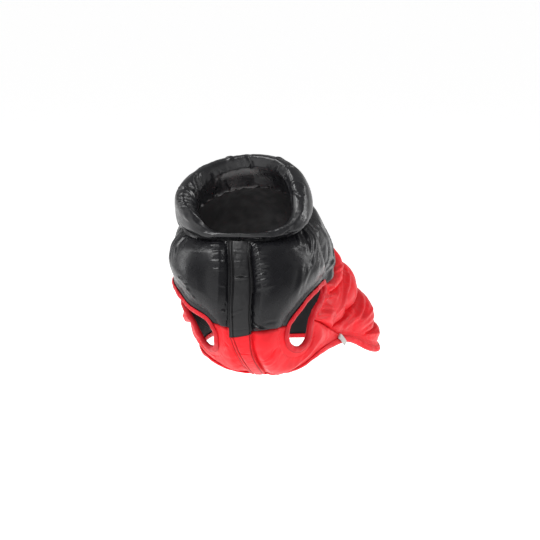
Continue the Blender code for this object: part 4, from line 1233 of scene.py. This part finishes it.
# ---- Camera, floor and light ----
azimuth, elevation = math.radians(CAMERA_AZIMUTH), math.radians(CAMERA_ELEVATION)
back_way = Vector((math.sin(azimuth) * math.cos(elevation), -math.cos(azimuth) * math.cos(elevation),
                   math.sin(elevation)))
right_way = Vector((math.cos(azimuth), math.sin(azimuth), 0))
up_way = back_way.cross(right_way)
camera = bpy.data.objects.new("camera", bpy.data.cameras.new("camera"))
bpy.context.scene.collection.objects.link(camera)
camera.location = back_way * CAMERA_DISTANCE + right_way * CAMERA_RIGHT - up_way * CAMERA_DOWN
camera.rotation_euler = Matrix((right_way, up_way, back_way)).transposed().to_euler()
camera.data.sensor_width = 36
camera.data.lens = 36 * CAMERA_DISTANCE / FRAME_WIDTH
bpy.context.scene.camera = camera

# floor that runs out to the horizon
turns = [math.tau * k / FLOOR_SIDES for k in range(FLOOR_SIDES)]
rim = [(FLOOR_REACH * math.cos(turn), FLOOR_REACH * math.sin(turn), FLOOR_Z) for turn in turns]
floor_mesh = bpy.data.meshes.new("floor")
floor_mesh.from_pydata(rim, [], [range(FLOOR_SIDES)])
floor_mesh.shade_smooth()
floor = bpy.data.objects.new("floor", floor_mesh)
bpy.context.scene.collection.objects.link(floor)
floor_material = bpy.data.materials.new("floor")
floor_material.use_nodes = True
floor_shader = floor_material.node_tree.nodes["Principled BSDF"]
floor_shader.inputs["Base Color"].default_value = (0.86, 0.86, 0.86, 1)
floor_shader.inputs["Roughness"].default_value = 0.8
floor_shader.inputs["Emission Color"].default_value = (1, 1, 1, 1)
floor_shader.inputs["Emission Strength"].default_value = FLOOR_GLOW
floor_mesh.materials.append(floor_material)

for name, place, size, power in LAMPS:
    light = bpy.data.lights.new(name, "AREA")
    light.shape = "RECTANGLE"
    light.size, light.size_y = size
    light.energy = power
    item = bpy.data.objects.new(name, light)
    bpy.context.scene.collection.objects.link(item)
    item.location = place
    item.rotation_euler = (LAMPS_AIM - Vector(place)).to_track_quat("-Z", "Y").to_euler()

world = bpy.data.worlds.new("world")
world.use_nodes = True
tree = world.node_tree
where = tree.nodes.new("ShaderNodeTexCoord")
parts = tree.nodes.new("ShaderNodeSeparateXYZ")
sky = tree.nodes.new("ShaderNodeValToRGB")
sky.color_ramp.elements[0].color = (BACKDROP, BACKDROP, BACKDROP, 1)
sky.color_ramp.elements[1].color = (SKY, SKY, SKY, 1)
sky.color_ramp.elements[1].position = SKY_FROM
tree.links.new(where.outputs["Generated"], parts.inputs[0])
tree.links.new(parts.outputs["Z"], sky.inputs[0])
tree.links.new(sky.outputs[0], tree.nodes["Background"].inputs[0])
bpy.context.scene.world = world
bpy.context.scene.view_settings.view_transform = "Standard"
